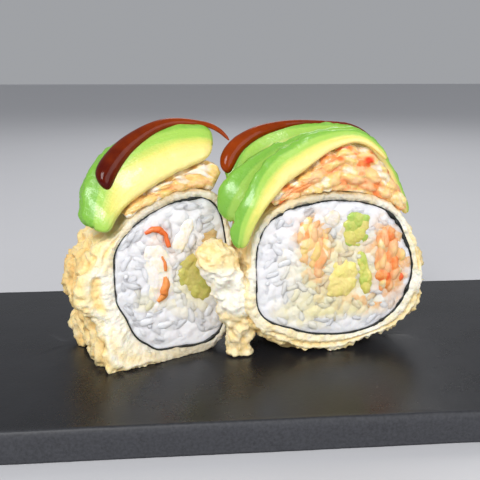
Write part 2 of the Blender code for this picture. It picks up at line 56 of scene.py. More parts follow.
BOARD_THICKNESS = 8 * MM
FLOOR_RISE = 0.05 * MM  # from the board up to the lowest batter
SEAM = 0.1 * MM  # how far outside the seaweed's solid its sheet meets the batter
COVERED_CRAG = 0.3 * MM  # depth of the batter's crags under the toppings
BATTER_CRAG = 1.1 * MM  # and where it is bare
CRAG_SIZE = 4.5 * MM
COVER_FADE = (12, 10)  # degrees past the toppings' ends where they fade out, and how quickly
FILLING_POWER = 2.4  # of the superellipse that a filling's outline follows
SLICE_THICKNESS = 4.0 * MM
SLICE_CLEARANCE = 0.7 * MM  # from the heap to the slices
SLICE_FRONT = 1.2 * MM  # from the cut face back to the first slice's root
SLICE_SWEEP = (115, 30)  # the angle past which a slice's root comes forward, and over how many degrees
THIN_SLICE = (0.3, 0.6 * MM)  # thickness of a narrow slice: this share of its width, and this much more
EASING = (-6, -3, 0, 3, 6)  # the degrees over which values between knots are averaged


# Numbers and fields


def smooth(share: np.ndarray | float) -> np.ndarray:
    """Smoothstep of a value clipped to 0..1."""
    share = np.clip(share, 0, 1)
    return share * share * (3 - 2 * share)


def lattice(cells: np.ndarray, seed: int) -> np.ndarray:
    """A number from 0 to 1 for each whole-number cell, from an integer hash.

    Args:
        cells: the cells' numbers along the three axes.
        seed: mixed into the hash.

    Returns:
        The numbers.
    """
    mixed = cells[..., 0] * 73856093 ^ cells[..., 1] * 19349663 ^ cells[..., 2] * 83492791 ^ seed * 2654435
    mixed = (mixed ^ (mixed >> 13)) * 1274126177 & 0x7FFFFFFF
    return ((mixed ^ (mixed >> 11)) & 0xFFFF) / 0xFFFF


def noise(points: np.ndarray, size: float, seed: int) -> np.ndarray:
    """Value noise: lattice numbers blended smoothly between the corners of cells.

    Args:
        points: where the noise is asked for.
        size: the cells' size.
        seed: what the lattice is drawn from.

    Returns:
        Numbers from -1 to 1.
    """
    scaled = points / size
    cells = np.floor(scaled).astype(np.int64)
    blend = smooth(scaled - cells)
    total = np.zeros(points.shape[:-1])
    for corner in np.ndindex(2, 2, 2):
        weight = np.prod(np.where(corner, blend, 1 - blend), axis=-1)
        total += weight * lattice(cells + np.array(corner), seed)
    return 2 * total - 1


def fractal(points: np.ndarray, size: float, seed: int, octaves: int = 4) -> np.ndarray:
    """Noise of each size from the given one down by halves, each half as strong as the last.

    Args:
        points: where the noise is asked for.
        size: the largest cells' size.
        seed: what the lattices are drawn from.
        octaves: how many sizes there are.

    Returns:
        Numbers from about -1 to about 1.
    """
    total = sum(noise(points, size / 2**k, seed + 17 * k) / 2**k for k in range(octaves))
    return total / (2 - 2 ** (1 - octaves)) * 1.4


def knobs(points: np.ndarray, size: Any, seed: int) -> tuple[np.ndarray, np.ndarray]:
    """Round knobs packed together, with sharp creases between them.

    A knob stands at each of the points that lie one to a cell. Its height is one less the squared distance to
    it, in cells.

    Args:
        points: where the knobs are asked for.
        size: the cells' size, or their sizes along the three axes.
        seed: what the knobs are drawn from.

    Returns:
        The height, from 0 in the creases to 1, and a number from 0 to 1 that is the same all over a knob.
    """
    scaled = points / size
    cells = np.floor(scaled).astype(np.int64)
    nearest = np.full(points.shape[:-1], 9.0)
    number = np.zeros(points.shape[:-1])
    for corner in np.ndindex(3, 3, 3):
        cell = cells + np.array(corner) - 1
        spot = cell + np.stack([lattice(cell, seed + k) for k in range(3)], axis=-1)
        away = ((spot - scaled) ** 2).sum(-1)
        number = np.where(away < nearest, lattice(cell, seed + 3), number)
        nearest = np.minimum(nearest, away)
    return np.clip(1 - nearest, 0, 1), number


def crumbs(points: np.ndarray, size: Any, seed: int) -> np.ndarray:
    """Heights of round knobs, from 0 in the creases between them to 1."""
    return knobs(points, size, seed)[0]


def drift(points: np.ndarray, size: float, seed: int, step: int = 1) -> np.ndarray:
    """Offsets by noise along the three axes, whose seeds are a step apart."""
    return np.stack([noise(points, size, seed + step * k) for k in range(3)], axis=-1)


def face_noise(places: np.ndarray, size: float, seed: int) -> np.ndarray:
    """Noise at places on the cut face."""
    return noise(np.pad(places, ((0, 0), (0, 1))), size, seed)


def circle(steps: int, whole: float = 2 * math.pi) -> np.ndarray:
    """Angles all round from 0, in radians or in parts of another whole."""
    return np.arange(steps) * whole / steps


def eased(rows: int) -> np.ndarray:
    """A column of shares from 0 to 1, closest together at both ends."""
    return (1 - np.cos(np.linspace(0, math.pi, rows)))[:, None] / 2


def drawn_in(share: np.ndarray, least: float) -> np.ndarray:
    """A bar's width along it: 1, but drawn in to the root of least at both ends, by a power of the place."""
    return np.sqrt(np.clip(1 - (2 * share - 1) ** 16, least, 1))


def rounded(turn: np.ndarray, power: float) -> tuple[np.ndarray, np.ndarray]:
    """Places on a unit superellipse at angles in radians.

    Args:
        turn: the angles.
        power: the superellipse's power.

    Returns:
        The places' two coordinates.
    """
    cos, sin = np.cos(turn), np.sin(turn)
    return np.sign(cos) * abs(cos) ** (2 / power), np.sign(sin) * abs(sin) ** (2 / power)


def traced(knots: np.ndarray, rows: int) -> np.ndarray:
    """Rows of values, evenly between the knots of a path on straight lines from knot to knot."""
    places = np.linspace(0, len(knots) - 1, rows)
    return np.stack([np.interp(places, np.arange(len(knots)), column) for column in knots.T], axis=-1)


@dataclass(frozen=True)
class Crags:
    """The relief of fried batter at points, in four parts of about unit height."""

    ridge: np.ndarray
    lumps: np.ndarray
    grit: np.ndarray
    fine: np.ndarray

    @classmethod
    def at(cls, points: np.ndarray, lump: float, seed: int, shift: int = 0) -> "Crags":
        """Works out the relief: ridges where noise crosses 0, packed lumps, grit and fine noise.

        Args:
            points: where the relief is asked for.
            lump: the lumps' size.
            seed: what the relief is drawn from.
            shift: added to the seeds of all but the ridges.

        Returns:
            The four parts.
        """
        return cls(
            0.5 - abs(fractal(points, 4.2 * MM, seed + 30, 3)) * 1.6,
            crumbs(points, lump, seed + 40 + shift) - 0.6,
            crumbs(points, 1.1 * MM, seed + 50 + shift) - 0.6,
            fractal(points, 1.2 * MM, seed + 60 + shift, 3),
        )

    def lift(self, depths: tuple[float, float, float, float]) -> np.ndarray:
        """The parts' sum, each as deep as is given in millimetres."""
        ridge, lumps, grit, fine = depths
        return (ridge * self.ridge + lumps * self.lumps + grit * self.grit + fine * self.fine) * MM


# Shells


class Ends(Enum):
    """How the rows of a grid end: joined like a tyre's, or each end drawn to a pole."""

    JOINED = "joined"
    POLES = "poles"


@dataclass
class Shell:
    """A closed skin: its points, its faces of four and of three, and numbers marked on its points."""

    points: np.ndarray
    quads: np.ndarray
    triangles: np.ndarray
    marks: dict[str, np.ndarray] = field(default_factory=dict)

    def outward(self) -> "Shell":
        """The shell with its faces turned outwards, by the sign of the volume that they hold.

        Returns:
            The same shell.
        """
        fans = np.concatenate([self.quads[:, [0, 1, 2]], self.quads[:, [0, 2, 3]], self.triangles])
        a, b, c = (self.points[fans[:, k]] - self.points.mean(0) for k in range(3))
        if (a * np.cross(b, c)).sum() < 0:
            self.quads, self.triangles = self.quads[:, ::-1], self.triangles[:, ::-1]
        return self


def lofted(grid: np.ndarray, ends: Ends, marks: dict[str, Any] | None = None) -> Shell:
    """A shell on a grid of points whose columns go round.

    Args:
        grid: points, rows by columns by 3.
        ends: how the rows end.
        marks: numbers for each point, or one for all.

    Returns:
        The shell, its faces outward.
    """
    rows, columns = grid.shape[:2]
    row = np.arange(rows if ends is Ends.JOINED else rows - 1)[:, None]
    here = np.arange(columns)[None, :]
    after = (here + 1) % columns
    below = (row + 1) % rows * columns
    quads = np.stack([row * columns + here, row * columns + after, below + after, below + here], axis=-1)
    points = grid.reshape(-1, 3)
    values = {name: np.broadcast_to(mark, (rows, columns)).ravel() for name, mark in (marks or {}).items()}
    triangles = np.empty((0, 3), int)
    if ends is Ends.POLES:
        points = np.vstack([points, grid[0].mean(0), grid[-1].mean(0)])
        for name, mark in values.items():
            values[name] = np.append(mark, [mark[:columns].mean(), mark[-columns:].mean()])
        start, tip = here.ravel(), rows * columns
        turn, last = after.ravel(), (rows - 1) * columns
        first_fan = np.stack([turn, start, np.full(columns, tip)], axis=-1)
        last_fan = np.stack([last + start, last + turn, np.full(columns, tip + 1)], axis=-1)
        triangles = np.concatenate([first_fan, last_fan])
    return Shell(points, quads.reshape(-1, 4), triangles, values).outward()


def joined(shells: list[Shell]) -> Shell:
    """Several shells as one, with the marks that they share.

    Args:
        shells: what is joined.

    Returns:
        The one shell.
    """
    starts = np.cumsum([0] + [len(shell.points) for shell in shells])[:-1]
    names = set.intersection(*(set(shell.marks) for shell in shells))
    return Shell(
        np.concatenate([shell.points for shell in shells]),
        np.concatenate([shell.quads + start for shell, start in zip(shells, starts)]),
        np.concatenate([shell.triangles + start for shell, start in zip(shells, starts)]),
        {name: np.concatenate([shell.marks[name] for shell in shells]) for name in sorted(names)},
    )


def raised(grid: np.ndarray, amount: np.ndarray, ends: Ends) -> np.ndarray:
    """A grid moved along its own normals, each the cross product of its steps round and along.

    Args:
        grid: points, rows by columns by 3.
        amount: how far each point moves outwards.
        ends: how the rows end.

    Returns:
        The moved grid.
    """
    across = np.roll(grid, -1, 1) - np.roll(grid, 1, 1)
    along = np.roll(grid, -1, 0) - np.roll(grid, 1, 0) if ends is Ends.JOINED else np.gradient(grid, axis=0)
    normal = np.cross(across, along)
    normal /= np.linalg.norm(normal, axis=-1, keepdims=True) + 1e-12
    if (normal * (grid - grid.mean((0, 1)))).sum() < 0:
        normal = -normal
    return grid + amount[..., None] * normal


def around(degrees: np.ndarray, radius: np.ndarray, depth: np.ndarray) -> np.ndarray:
    """Points at angles, radii and depths of a roll.

    Args:
        degrees: the angles.
        radius: distances from the roll's middle line.
        depth: places along it.

    Returns:
        The points, in the roll's frame.
    """
    angle = np.radians(degrees)
    return np.stack(np.broadcast_arrays(radius * np.cos(angle), depth, radius * np.sin(angle)), axis=-1)


def turned(heading: np.ndarray, tilt: np.ndarray, spin: np.ndarray) -> np.ndarray:
    """Axes for copies, from angles in radians.

    Args:
        heading: the first axis's angle in the plane of the cut face.
        tilt: how far it is tipped out of that plane.
        spin: how far the other two axes are spun about it.

    Returns:
        The axes as columns.
    """
    along = np.stack([np.cos(heading) * np.cos(tilt), np.sin(tilt), np.sin(heading) * np.cos(tilt)], axis=-1)
    flat = np.stack([-np.sin(heading), np.zeros_like(heading), np.cos(heading)], axis=-1)
    up = np.cross(along, flat)
    side = flat * np.cos(spin)[:, None] + up * np.sin(spin)[:, None]
    return np.stack([along, side, np.cross(along, side)], axis=-1)


def scattered(
    template: Shell,
    places: np.ndarray,
    axes: np.ndarray,
    sizes: np.ndarray,
    marks: dict[str, np.ndarray],
    bends: np.ndarray | None = None,
) -> Shell:
    """Copies of a template as one shell.

    Args:
        template: a shell of unit size, long along its first axis.
        places: the copies' middles.
        axes: the copies' axes, as columns.
        sizes: the copies' sizes along their axes.
        marks: a number for each copy, under each mark's name.
        bends: how far the middle of each copy is bent along its second axis.

    Returns:
        The shell of all the copies.
    """
    count, size = len(places), len(template.points)
    local = template.points[None] * sizes[:, None, :]
    if bends is not None:
        local[..., 1] += bends[:, None] * (1 - 4 * template.points[None, :, 0] ** 2)
    points = np.einsum("nij,nmj->nmi", axes, local) + places[:, None, :]
    starts = (np.arange(count) * size)[:, None, None]
    return Shell(
        points.reshape(-1, 3),
        (template.quads[None] + starts).reshape(-1, 4),
        (template.triangles[None] + starts).reshape(-1, 3),
        {name: np.repeat(mark, size) for name, mark in marks.items()},
    )


def pod(rows: int, columns: int, fullness: float) -> Shell:
    """A pod of unit length and width, whose radius follows a sine of the place along it.

    Args:
        rows: rings along the pod.
        columns: points round it.
        fullness: the power of the sine; a low one gives blunt ends.

    Returns:
        The pod, along its first axis.
    """
    share = ((np.arange(rows) + 0.5) / rows)[:, None]
    turn = circle(columns)[None]
    radius = 0.5 * np.sin(math.pi * share) ** fullness
    along = -0.5 * np.cos(math.pi * share)
    grid = np.stack(np.broadcast_arrays(along, radius * np.cos(turn), radius * np.sin(turn)), axis=-1)
    return lofted(grid, Ends.POLES)


def roughened(shell: Shell, depth: float, size: float, seed: int) -> Shell:
    """A shell whose points noise moves by up to a depth along each axis."""
    shell.points = shell.points + depth * drift(shell.points, size, seed, 5)
    return shell


def piece(
    name: str, shell: Shell, material: bpy.types.Material, nodes: tuple[str, ...] = ()
) -> bpy.types.Object:
    """A smooth-shaded object of the scene made from a shell.

    Args:
        name: the object's name.
        shell: its skin, in the part's frame.
        material: its finish.
        nodes: the solids that it stands for.

    Returns:
        The object, riding on the part's body.
    """
    mesh = bpy.data.meshes.new(name)
    loops = np.concatenate([shell.quads.ravel(), shell.triangles.ravel()]).astype(np.int32)
    starts = np.concatenate([
        np.arange(len(shell.quads)) * 4,
        len(shell.quads) * 4 + np.arange(len(shell.triangles)) * 3,
    ])
    mesh.vertices.add(len(shell.points))
    mesh.vertices.foreach_set("co", shell.points.astype(np.float32).ravel())
    mesh.loops.add(len(loops))
    mesh.loops.foreach_set("vertex_index", loops)
    mesh.polygons.add(len(starts))
    mesh.polygons.foreach_set("loop_start", starts.astype(np.int32))
    for mark, values in shell.marks.items():
        layer = mesh.attributes.new(mark, "FLOAT", "POINT")
        layer.data.foreach_set("value", values.astype(np.float32))
    mesh.update(calc_edges=True)
    mesh.validate()
    mesh.shade_smooth()
    mesh.materials.append(material)
    made = bpy.data.objects.new(name, mesh)
    bpy.context.scene.collection.objects.link(made)
    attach(made, BODY)
    if nodes:
        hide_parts(*nodes)
    log.info("%s: %d points, %d faces", name, len(shell.points), len(mesh.polygons))
    return made


# Finishes


def linear(colour: tuple[float, float, float]) -> tuple[float, float, float, float]:
    """A screen colour, from 0 to 255, as the shader's own linear values, by the sRGB curve.

    Args:
        colour: its red, green and blue.

    Returns:
        The linear values, and an opacity of 1.
    """
    shares = [value / 255 for value in colour]
    values = [share / 12.92 if share <= 0.04045 else ((share + 0.055) / 1.055) ** 2.4 for share in shares]
    return (*values, 1.0)


@dataclass(frozen=True)
class Value:
    """A number's socket in a graph. Sums and products of values add their Math nodes."""

    graph: "Graph"
    socket: bpy.types.NodeSocket

    def __add__(self, other: "Value | float") -> "Value":
        """The sum."""
        return self.graph.maths("ADD", self, other)

    def __sub__(self, other: "Value | float") -> "Value":
        """The difference."""
        return self.graph.maths("SUBTRACT", self, other)

    def __rsub__(self, other: float) -> "Value":
        """The difference from a plain number."""
        return self.graph.maths("SUBTRACT", other, self)

    def __mul__(self, other: "Value | float") -> "Value":
        """The product."""
        return self.graph.maths("MULTIPLY", self, other)

    __radd__ = __add__
    __rmul__ = __mul__


class Graph:
    """The nodes of one material, round its Principled shader."""

    def __init__(self, name: str, **fixed: Any) -> None:
        """Makes the material.

        Args:
            name: the material's name.
            fixed: constants for the shader's sockets, with _ for a space.
        """
        self.material = bpy.data.materials.new(name)
        self.material.use_nodes = True
        self.tree = self.material.node_tree
        self.shader = self.tree.nodes["Principled BSDF"]
        for socket, value in fixed.items():
            self.shader.inputs[socket.replace("_", " ")].default_value = value

    def node(self, kind: str, settings: dict[str, Any], inputs: dict[Any, Any], output: Any = 0) -> Value:
        """Adds a node.

        Args:
            kind: the node's type, without ShaderNode.
            settings: its properties, set first; "stops" holds a ramp's places and colours.
            inputs: values or Values for its sockets, by name or number.
            output: which of its outputs is wanted.

        Returns:
            That output.
        """
        made = self.tree.nodes.new("ShaderNode" + kind)
        for name, value in settings.items():
            if name == "stops":
                ramp = made.color_ramp
                while len(ramp.elements) < len(value):
                    ramp.elements.new(0.5)
                for element, (place, colour) in zip(ramp.elements, value):
                    element.position = place
                    element.color = colour
            else:
                setattr(made, name, value)
        for key, value in inputs.items():
            if isinstance(value, Value):
                self.tree.links.new(value.socket, made.inputs[key])
            else:
                made.inputs[key].default_value = value
        return Value(self, made.outputs[output])

    def maths(self, operation: str, first: Value | float, second: Value | float) -> Value:
        """A Math node on two numbers."""
        return self.node("Math", {"operation": operation}, {0: first, 1: second})

    def mark(self, name: str) -> Value:
        """A number marked on the piece's points."""
        return self.node("Attribute", {"attribute_name": name}, {}, "Fac")

    def places(self) -> Value:
        """Object coordinates."""
        return self.node("TexCoord", {}, {}, "Object")

    def grain(self, size: float, detail: float = 3, places: Value | None = None, rough: float = 0.6) -> Value:
        """Noise from 0 to 1.

        Args:
            size: about how wide its lumps are.
            detail: how many finer sizes are added.
            places: where it is asked for, if not at Object coordinates.
            rough: how strong the finer sizes are.

        Returns:
            The noise.
        """
        inputs = {"Vector": places or self.places(), "Scale": 1 / size, "Detail": detail, "Roughness": rough}
        return self.node("TexNoise", {}, inputs, "Fac")

    def pores(self, size: float) -> Value:
        """Distance to the nearest of scattered points about size apart, from 0."""
        inputs = {"Vector": self.places(), "Scale": 1 / size}
        return self.node("TexVoronoi", {"feature": "F1"}, inputs, "Distance")

    def ramp(self, value: Value, stops: tuple) -> Value:
        """A colour for each value, between screen colours at places."""
        colours = [(place, linear(colour)) for place, colour in stops]
        return self.node("ValToRGB", {"stops": colours}, {0: value}, "Color")

    def mix(self, share: Value | float, first: Value | tuple, second: Value | tuple) -> Value:
        """A mix of two colours.

        Args:
            share: how much of the second there is.
            first: a colour's socket, or a screen colour.
            second: the same.

        Returns:
            The mixed colour.
        """
        pair = (colour if isinstance(colour, Value) else linear(colour) for colour in (first, second))
        return self.node("Mix", {"data_type": "RGBA"}, dict(zip((0, 6, 7), (share, *pair))), 2)

    def set(self, socket: str, value: Value) -> None:
        """Links a value to one of the shader's sockets."""
        self.tree.links.new(value.socket, self.shader.inputs[socket])

    def bump(self, height: Value, distance: float, strength: float = 1.0) -> None:
        """Relief from a height, which is distance deep where it goes from 0 to 1."""
        inputs = {"Height": height, "Distance": distance, "Strength": strength}
        self.set("Normal", self.node("Bump", {}, inputs, "Normal"))


@dataclass(frozen=True)
class SlateFinish:
    """Near-black slate with a low sheen, fine cleft and paler chips at its edges."""

    dark: tuple = (14, 14, 17)
    light: tuple = (38, 39, 44)
    chip: tuple = (74, 75, 80)

    def material(self) -> bpy.types.Material:
        """Builds the material.

        Returns:
            The material.
        """
        graph = Graph("slate", Specular_IOR_Level=0.42)
        cloud = graph.grain(14 * MM, 4)
        fine = graph.grain(0.7 * MM, 3)
        base = graph.mix(cloud * 0.7 + fine * 0.2, self.dark, self.light)
        graph.set("Base Color", graph.mix(graph.mark("chipped") * fine, base, self.chip))
        graph.set("Roughness", cloud * 0.16 + fine * 0.08 + graph.mark("chipped") * 0.3 + 0.17)
        graph.bump(graph.grain(5 * MM, 4) * 0.7 + fine * 0.3, 0.16 * MM, 0.5)
        return graph.material


@dataclass(frozen=True)
class BatterFinish:
    """Fried batter: white crumb where it is cut, cream and golden outside, paler along the ridges of its
    crags, and grey where it is moist and in painted shade.
    """

    white: tuple = (255, 249, 232)
    cream: tuple = (254, 235, 190)
    golden: tuple = (254, 222, 154)
    toasted: tuple = (242, 196, 120)
    # grey of moist batter and of painted shade
    damp: tuple = (166, 156, 134)

    def material(self) -> bpy.types.Material:
        """Builds the material.

        Returns:
            The material.
        """
        graph = Graph(
            "batter", Subsurface_Weight=0.18, Subsurface_Radius=(1.0, 0.6, 0.3), Subsurface_Scale=1.5 * MM
        )
        fine = graph.grain(1.2 * MM, 4)
        patch = graph.grain(5 * MM, 3)
        tone = graph.mark("tone") + fine * 0.22 + patch * 0.3 - 0.26
        stops = ((0.0, self.white), (0.3, self.cream), (0.62, self.golden), (1.0, self.toasted))
        # grey where the batter is moist and in painted shade, under the toppings and at the foot
        colour = graph.mix(graph.mark("damp") * (fine * 0.5 + 0.55), graph.ramp(tone, stops), self.damp)
        graph.set("Base Color", colour)
        graph.set("Roughness", fine * 0.3 + 0.38)
        graph.bump(graph.pores(0.55 * MM) * 0.6 + graph.grain(0.5 * MM, 3) * 0.6, 0.22 * MM, 0.7)
        return graph.material


@dataclass(frozen=True)
class SeaweedFinish:
    """Black-green seaweed, a little shiny, with a fine crinkle."""

    dark: tuple = (13, 15, 14)
    light: tuple = (40, 46, 36)

    def material(self) -> bpy.types.Material:
        """Builds the material.

        Returns:
            The material.
        """
        graph = Graph("seaweed")
        crinkle = graph.grain(0.8 * MM, 4)
        graph.set("Base Color", graph.mix(crinkle * crinkle, self.dark, self.light))
        graph.set("Roughness", crinkle * 0.3 + 0.3)
        graph.bump(crinkle, 0.2 * MM, 0.7)
        return graph.material


@dataclass(frozen=True)
class RiceFinish:
    """Moist white rice, faintly lavender, yellow with mayonnaise and orange beside the crab."""

    white: tuple = (255, 252, 251)
    shade: tuple = (238, 233, 238)
    mayo: tuple = (255, 238, 186)
    blush: tuple = (252, 188, 126)

    def material(self) -> bpy.types.Material:
        """Builds the material.

        Returns:
            The material.
        """
        graph = Graph(
            "rice",
            Roughness=0.26,
            Subsurface_Weight=0.6,
            Subsurface_Radius=(1.0, 0.9, 0.8),
            Subsurface_Scale=2.2 * MM,
            Coat_Weight=0.15,
            Coat_Roughness=0.12,
        )
        fine = graph.grain(1.1 * MM, 3)
        white = graph.mix(graph.mark("shade") * 0.7 + fine * 0.4, self.white, self.shade)
        rich = graph.mix(graph.mark("mayo") * (fine * 0.7 + 0.6), white, self.mayo)
        graph.set("Base Color", graph.mix(graph.mark("blush") * (fine * 1.1 + 0.35), rich, self.blush))
        graph.bump(graph.grain(0.7 * MM, 3), 0.12 * MM, 0.5)
        return graph.material


@dataclass(frozen=True)
class CrabFinish:
    """Crab stick and its salad: white and pale yellow flesh, pink, orange and a red skin, and a deeper colour
    in the creases between lumps that is partly mayonnaise and partly painted shade.
    """

    flesh: tuple = (252, 245, 238)
    mayo: tuple = (252, 220, 134)
    pink: tuple = (251, 200, 150)
    orange: tuple = (248, 158, 82)
    red: tuple = (240, 70, 12)
    crease: tuple = (230, 176, 78)
    brown: tuple = (196, 172, 128)

    def material(self) -> bpy.types.Material:
        """Builds the material.

        Returns:
            The material.
        """
        graph = Graph(
            "crab",
            Roughness=0.3,
            Subsurface_Weight=0.3,
            Subsurface_Radius=(1.0, 0.6, 0.4),
            Subsurface_Scale=1.4 * MM,
            Coat_Weight=0.2,
            Coat_Roughness=0.15,
        )
        fine = graph.grain(1.6 * MM, 3)
        tint = graph.mark("tint") + fine * 0.3 - 0.15
        stops = ((0.0, self.flesh), (0.25, self.mayo), (0.5, self.pink), (0.75, self.orange), (1.0, self.red))
        # deeper colour in the creases: mayonnaise and painted shade
        deep = graph.mix(tint, self.crease, self.red)
        lumps = graph.mix(graph.mark("crease") * 0.75, graph.ramp(tint, stops), deep)
        graph.set("Base Color", graph.mix(graph.mark("brown") * (fine * 0.5 + 0.5), lumps, self.brown))
        graph.bump(graph.grain(0.6 * MM, 3), 0.15 * MM, 0.6)
        return graph.material


@dataclass(frozen=True)
class AvocadoFinish:
    """Ripe avocado: pale yellow by the stone, through yellow-green, to bright green under the skin."""

    stone_side: tuple = (252, 230, 146)
    middle: tuple = (230, 222, 112)
    outer: tuple = (166, 208, 84)
    skin_side: tuple = (126, 184, 60)
    dull: tuple = (174, 164, 84)

    def material(self) -> bpy.types.Material:
        """Builds the material.

        Returns:
            The material.
        """
        graph = Graph(
            "avocado",
            Subsurface_Weight=0.2,
            Subsurface_Radius=(0.6, 0.9, 0.25),
            Subsurface_Scale=1.8 * MM,
            Coat_Weight=0.35,
            Coat_Roughness=0.1,
        )
        streak = self.streaks(graph)
        fine = graph.grain(1.0 * MM, 3)
        ripe = graph.mark("green") + streak * 0.3 + fine * 0.12 - 0.21
        colours = (self.stone_side, self.middle, self.outer, self.outer, self.skin_side)
        flesh = graph.ramp(ripe, tuple(zip((0.0, 0.32, 0.62, 0.86, 1.0), colours)))
        graph.set("Base Color", graph.mix(graph.mark("dull") * (fine * 0.6 + 0.6), flesh, self.dull))
        graph.set("Roughness", fine * 0.35 + 0.16)
        graph.bump(streak * 0.8 + fine * 0.6, 0.4 * MM, 0.6)
        return graph.material

    def streaks(self, graph: Graph) -> Value:
        """Noise drawn out along the slice, from the places marked along and across it.

        Returns:
            The noise, from 0 to 1.
        """
        places = graph.node("CombineXYZ", {}, {0: graph.mark("along") * 0.25, 1: graph.mark("across")})
        return graph.grain(1.6 * MM, 3, places)


@dataclass(frozen=True)
class GlazeFinish:
    """Thick sweet glaze: near-black brown where it is deep and amber where it is thin, with a wet shine."""

    deep: tuple = (74, 10, 2)
    thin: tuple = (186, 76, 8)

    def material(self) -> bpy.types.Material:
        """Builds the material.

        Returns:
            The material.
        """
        graph = Graph("glaze", Roughness=0.1, Coat_Weight=0.1, Coat_Roughness=0.03, Specular_IOR_Level=0.14)
        fine = graph.grain(3 * MM, 2)
        graph.set("Base Color", graph.mix(graph.mark("thin") + fine * 0.3 - 0.15, self.deep, self.thin))
        return graph.material


class Finishes:
    """Every finish of the part, built once."""

    def __init__(self) -> None:
        """Builds the materials."""
        self.slate = SlateFinish().material()
        self.batter = BatterFinish().material()
        self.seaweed = SeaweedFinish().material()
        self.rice = RiceFinish().material()
        self.crab = CrabFinish().material()
        self.avocado = AvocadoFinish().material()
        self.glaze = GlazeFinish().material()


# The forms of the rolls


@dataclass(frozen=True)
class Lobe:
    """A smooth rise round a roll.

    Attributes:
        height: how high it is, a length or a plain strength.
        centre: the angle of its peak.
        left: in how many degrees it falls to nothing where angles grow.
        right: the same where they shrink.
    """

    height: float
    centre: float
    left: float
    right: float

    def at(self, degrees: np.ndarray) -> np.ndarray:
        """The rise at angles."""
        away = (degrees - self.centre + 180) % 360 - 180
        return self.height * smooth(1 - abs(away) / np.where(away > 0, self.left, self.right))


@dataclass(frozen=True)
class Spot:
    """A soft round patch on the cut face: its middle and half sizes in millimetres, and its strength."""

    u: float
    v: float
    half_u: float
    half_v: float
    strength: float

    def share(self, points: np.ndarray) -> np.ndarray:
        """How far points of the roll's frame lie in the patch, from 0 to 1."""
        u = (points[..., 0] - self.u * MM) / (self.half_u * MM)
        v = (points[..., 2] - self.v * MM) / (self.half_v * MM)
        return smooth(1.3 - np.sqrt(u * u + v * v))

    def at(self, points: np.ndarray) -> np.ndarray:
        """The patch's strength at points of the roll's frame."""
        return self.strength * self.share(points)


class Kind(Enum):
    """What a filling is."""

    CRAB = "crab"
    AVOCADO = "avocado"


@dataclass(frozen=True)
class FillingForm:
    """A filling that runs through a roll.

    Attributes:
        name: its solid's name, after the roll's.
        kind: what it is.
        spot: the middle of its outline on the cut face, in millimetres.
        size: the outline's half sizes, in millimetres.
        turn: the degrees that the outline is turned.
        tints: knots from a lump's number, 0 to 1, to its tint.
        lump: the lumps' width and height on the face, in millimetres.
        relief: how high the lumps stand.
        ragged: how much noise moves the outline, as a share of its reach.
        slope: what the tint gains from the middle to the right edge.
        crease: how strongly the creases between lumps take the deeper colour of mayonnaise and painted shade.
        dull: how brown or dull it is, from 0 to 1.
    """

    name: str
    kind: Kind
    spot: tuple[float, float]
    size: tuple[float, float]
    turn: float
    tints: tuple[tuple[float, float], ...]
    lump: tuple[float, float]
    relief: float = 0.8 * MM
    ragged: float = 0.14
    slope: float = 0.0
    crease: float = 0.8
    dull: float = 0.0

    @property
    def middle(self) -> np.ndarray:
        """The outline's middle."""
        return np.array(self.spot) * MM

    @property
    def half(self) -> np.ndarray:
        """The outline's half sizes."""
        return np.array(self.size) * MM

    def holds(self, points: np.ndarray, grown: float) -> np.ndarray:
        """Whether places on the face lie in the filling, grown all round.

        Args:
            points: the places, by u and v.
            grown: by how much.

        Returns:
            True where they do.
        """
        angle = math.radians(self.turn)
        u, v = (points - self.middle).T
        across = (u * math.cos(angle) + v * math.sin(angle)) / (self.half[0] + grown)
        up = (v * math.cos(angle) - u * math.sin(angle)) / (self.half[1] + grown)
        return abs(across) ** FILLING_POWER + abs(up) ** FILLING_POWER < 1

    def outline(self, steps: int) -> np.ndarray:
        """The filling's edge on the face: a superellipse with three low waves, turned.

        Args:
            steps: how many points it has.

        Returns:
            The points' u and v.
        """
        turn = circle(steps)
        wave = 1 + 0.05 * np.sin(3 * turn + self.spot[0])
        size = abs(np.cos(turn)) ** FILLING_POWER + abs(np.sin(turn)) ** FILLING_POWER
        reach = wave * size ** (-1 / FILLING_POWER)
        u, v = reach * np.cos(turn) * self.half[0], reach * np.sin(turn) * self.half[1]
        angle = math.radians(self.turn)
        across = u * math.cos(angle) - v * math.sin(angle)
        up = u * math.sin(angle) + v * math.cos(angle)
        return self.middle + np.stack([across, up], axis=-1)


@dataclass(frozen=True)
class SliceForm:
    """An avocado slice: the angles of its ends, and its widths at angles in millimetres."""

    start: float
    end: float
    widths: tuple[tuple[float, float], ...]


def between(degrees: np.ndarray, knots: tuple[tuple[float, float], ...]) -> np.ndarray:
    """Values at angles, on straight spans between knots of angle and millimetres, averaged a little.

    Args:
        degrees: the angles.
        knots: pairs of an angle and a value in millimetres.

    Returns:
        The values, in metres.
    """
    angle, value = np.array(knots, float).T
    return MM * sum(np.interp(degrees + shift, angle, value) for shift in EASING) / len(EASING)


@dataclass(frozen=True)
class GlazeForm:
    """A line of glaze.

    Attributes:
        number: which slice it lies on.
        start: the angle of its bead.
        end: the angle of its other end.
        halves: its half widths at angles, in millimetres.
        insets: how far in from the slice's edge it lies at angles, in millimetres.
        amber: how amber it is at its start and at its end.
    """

    number: int
    start: float
    end: float
    halves: tuple[tuple[float, float], ...]
    insets: tuple[tuple[float, float], ...]
    amber: tuple[float, float]


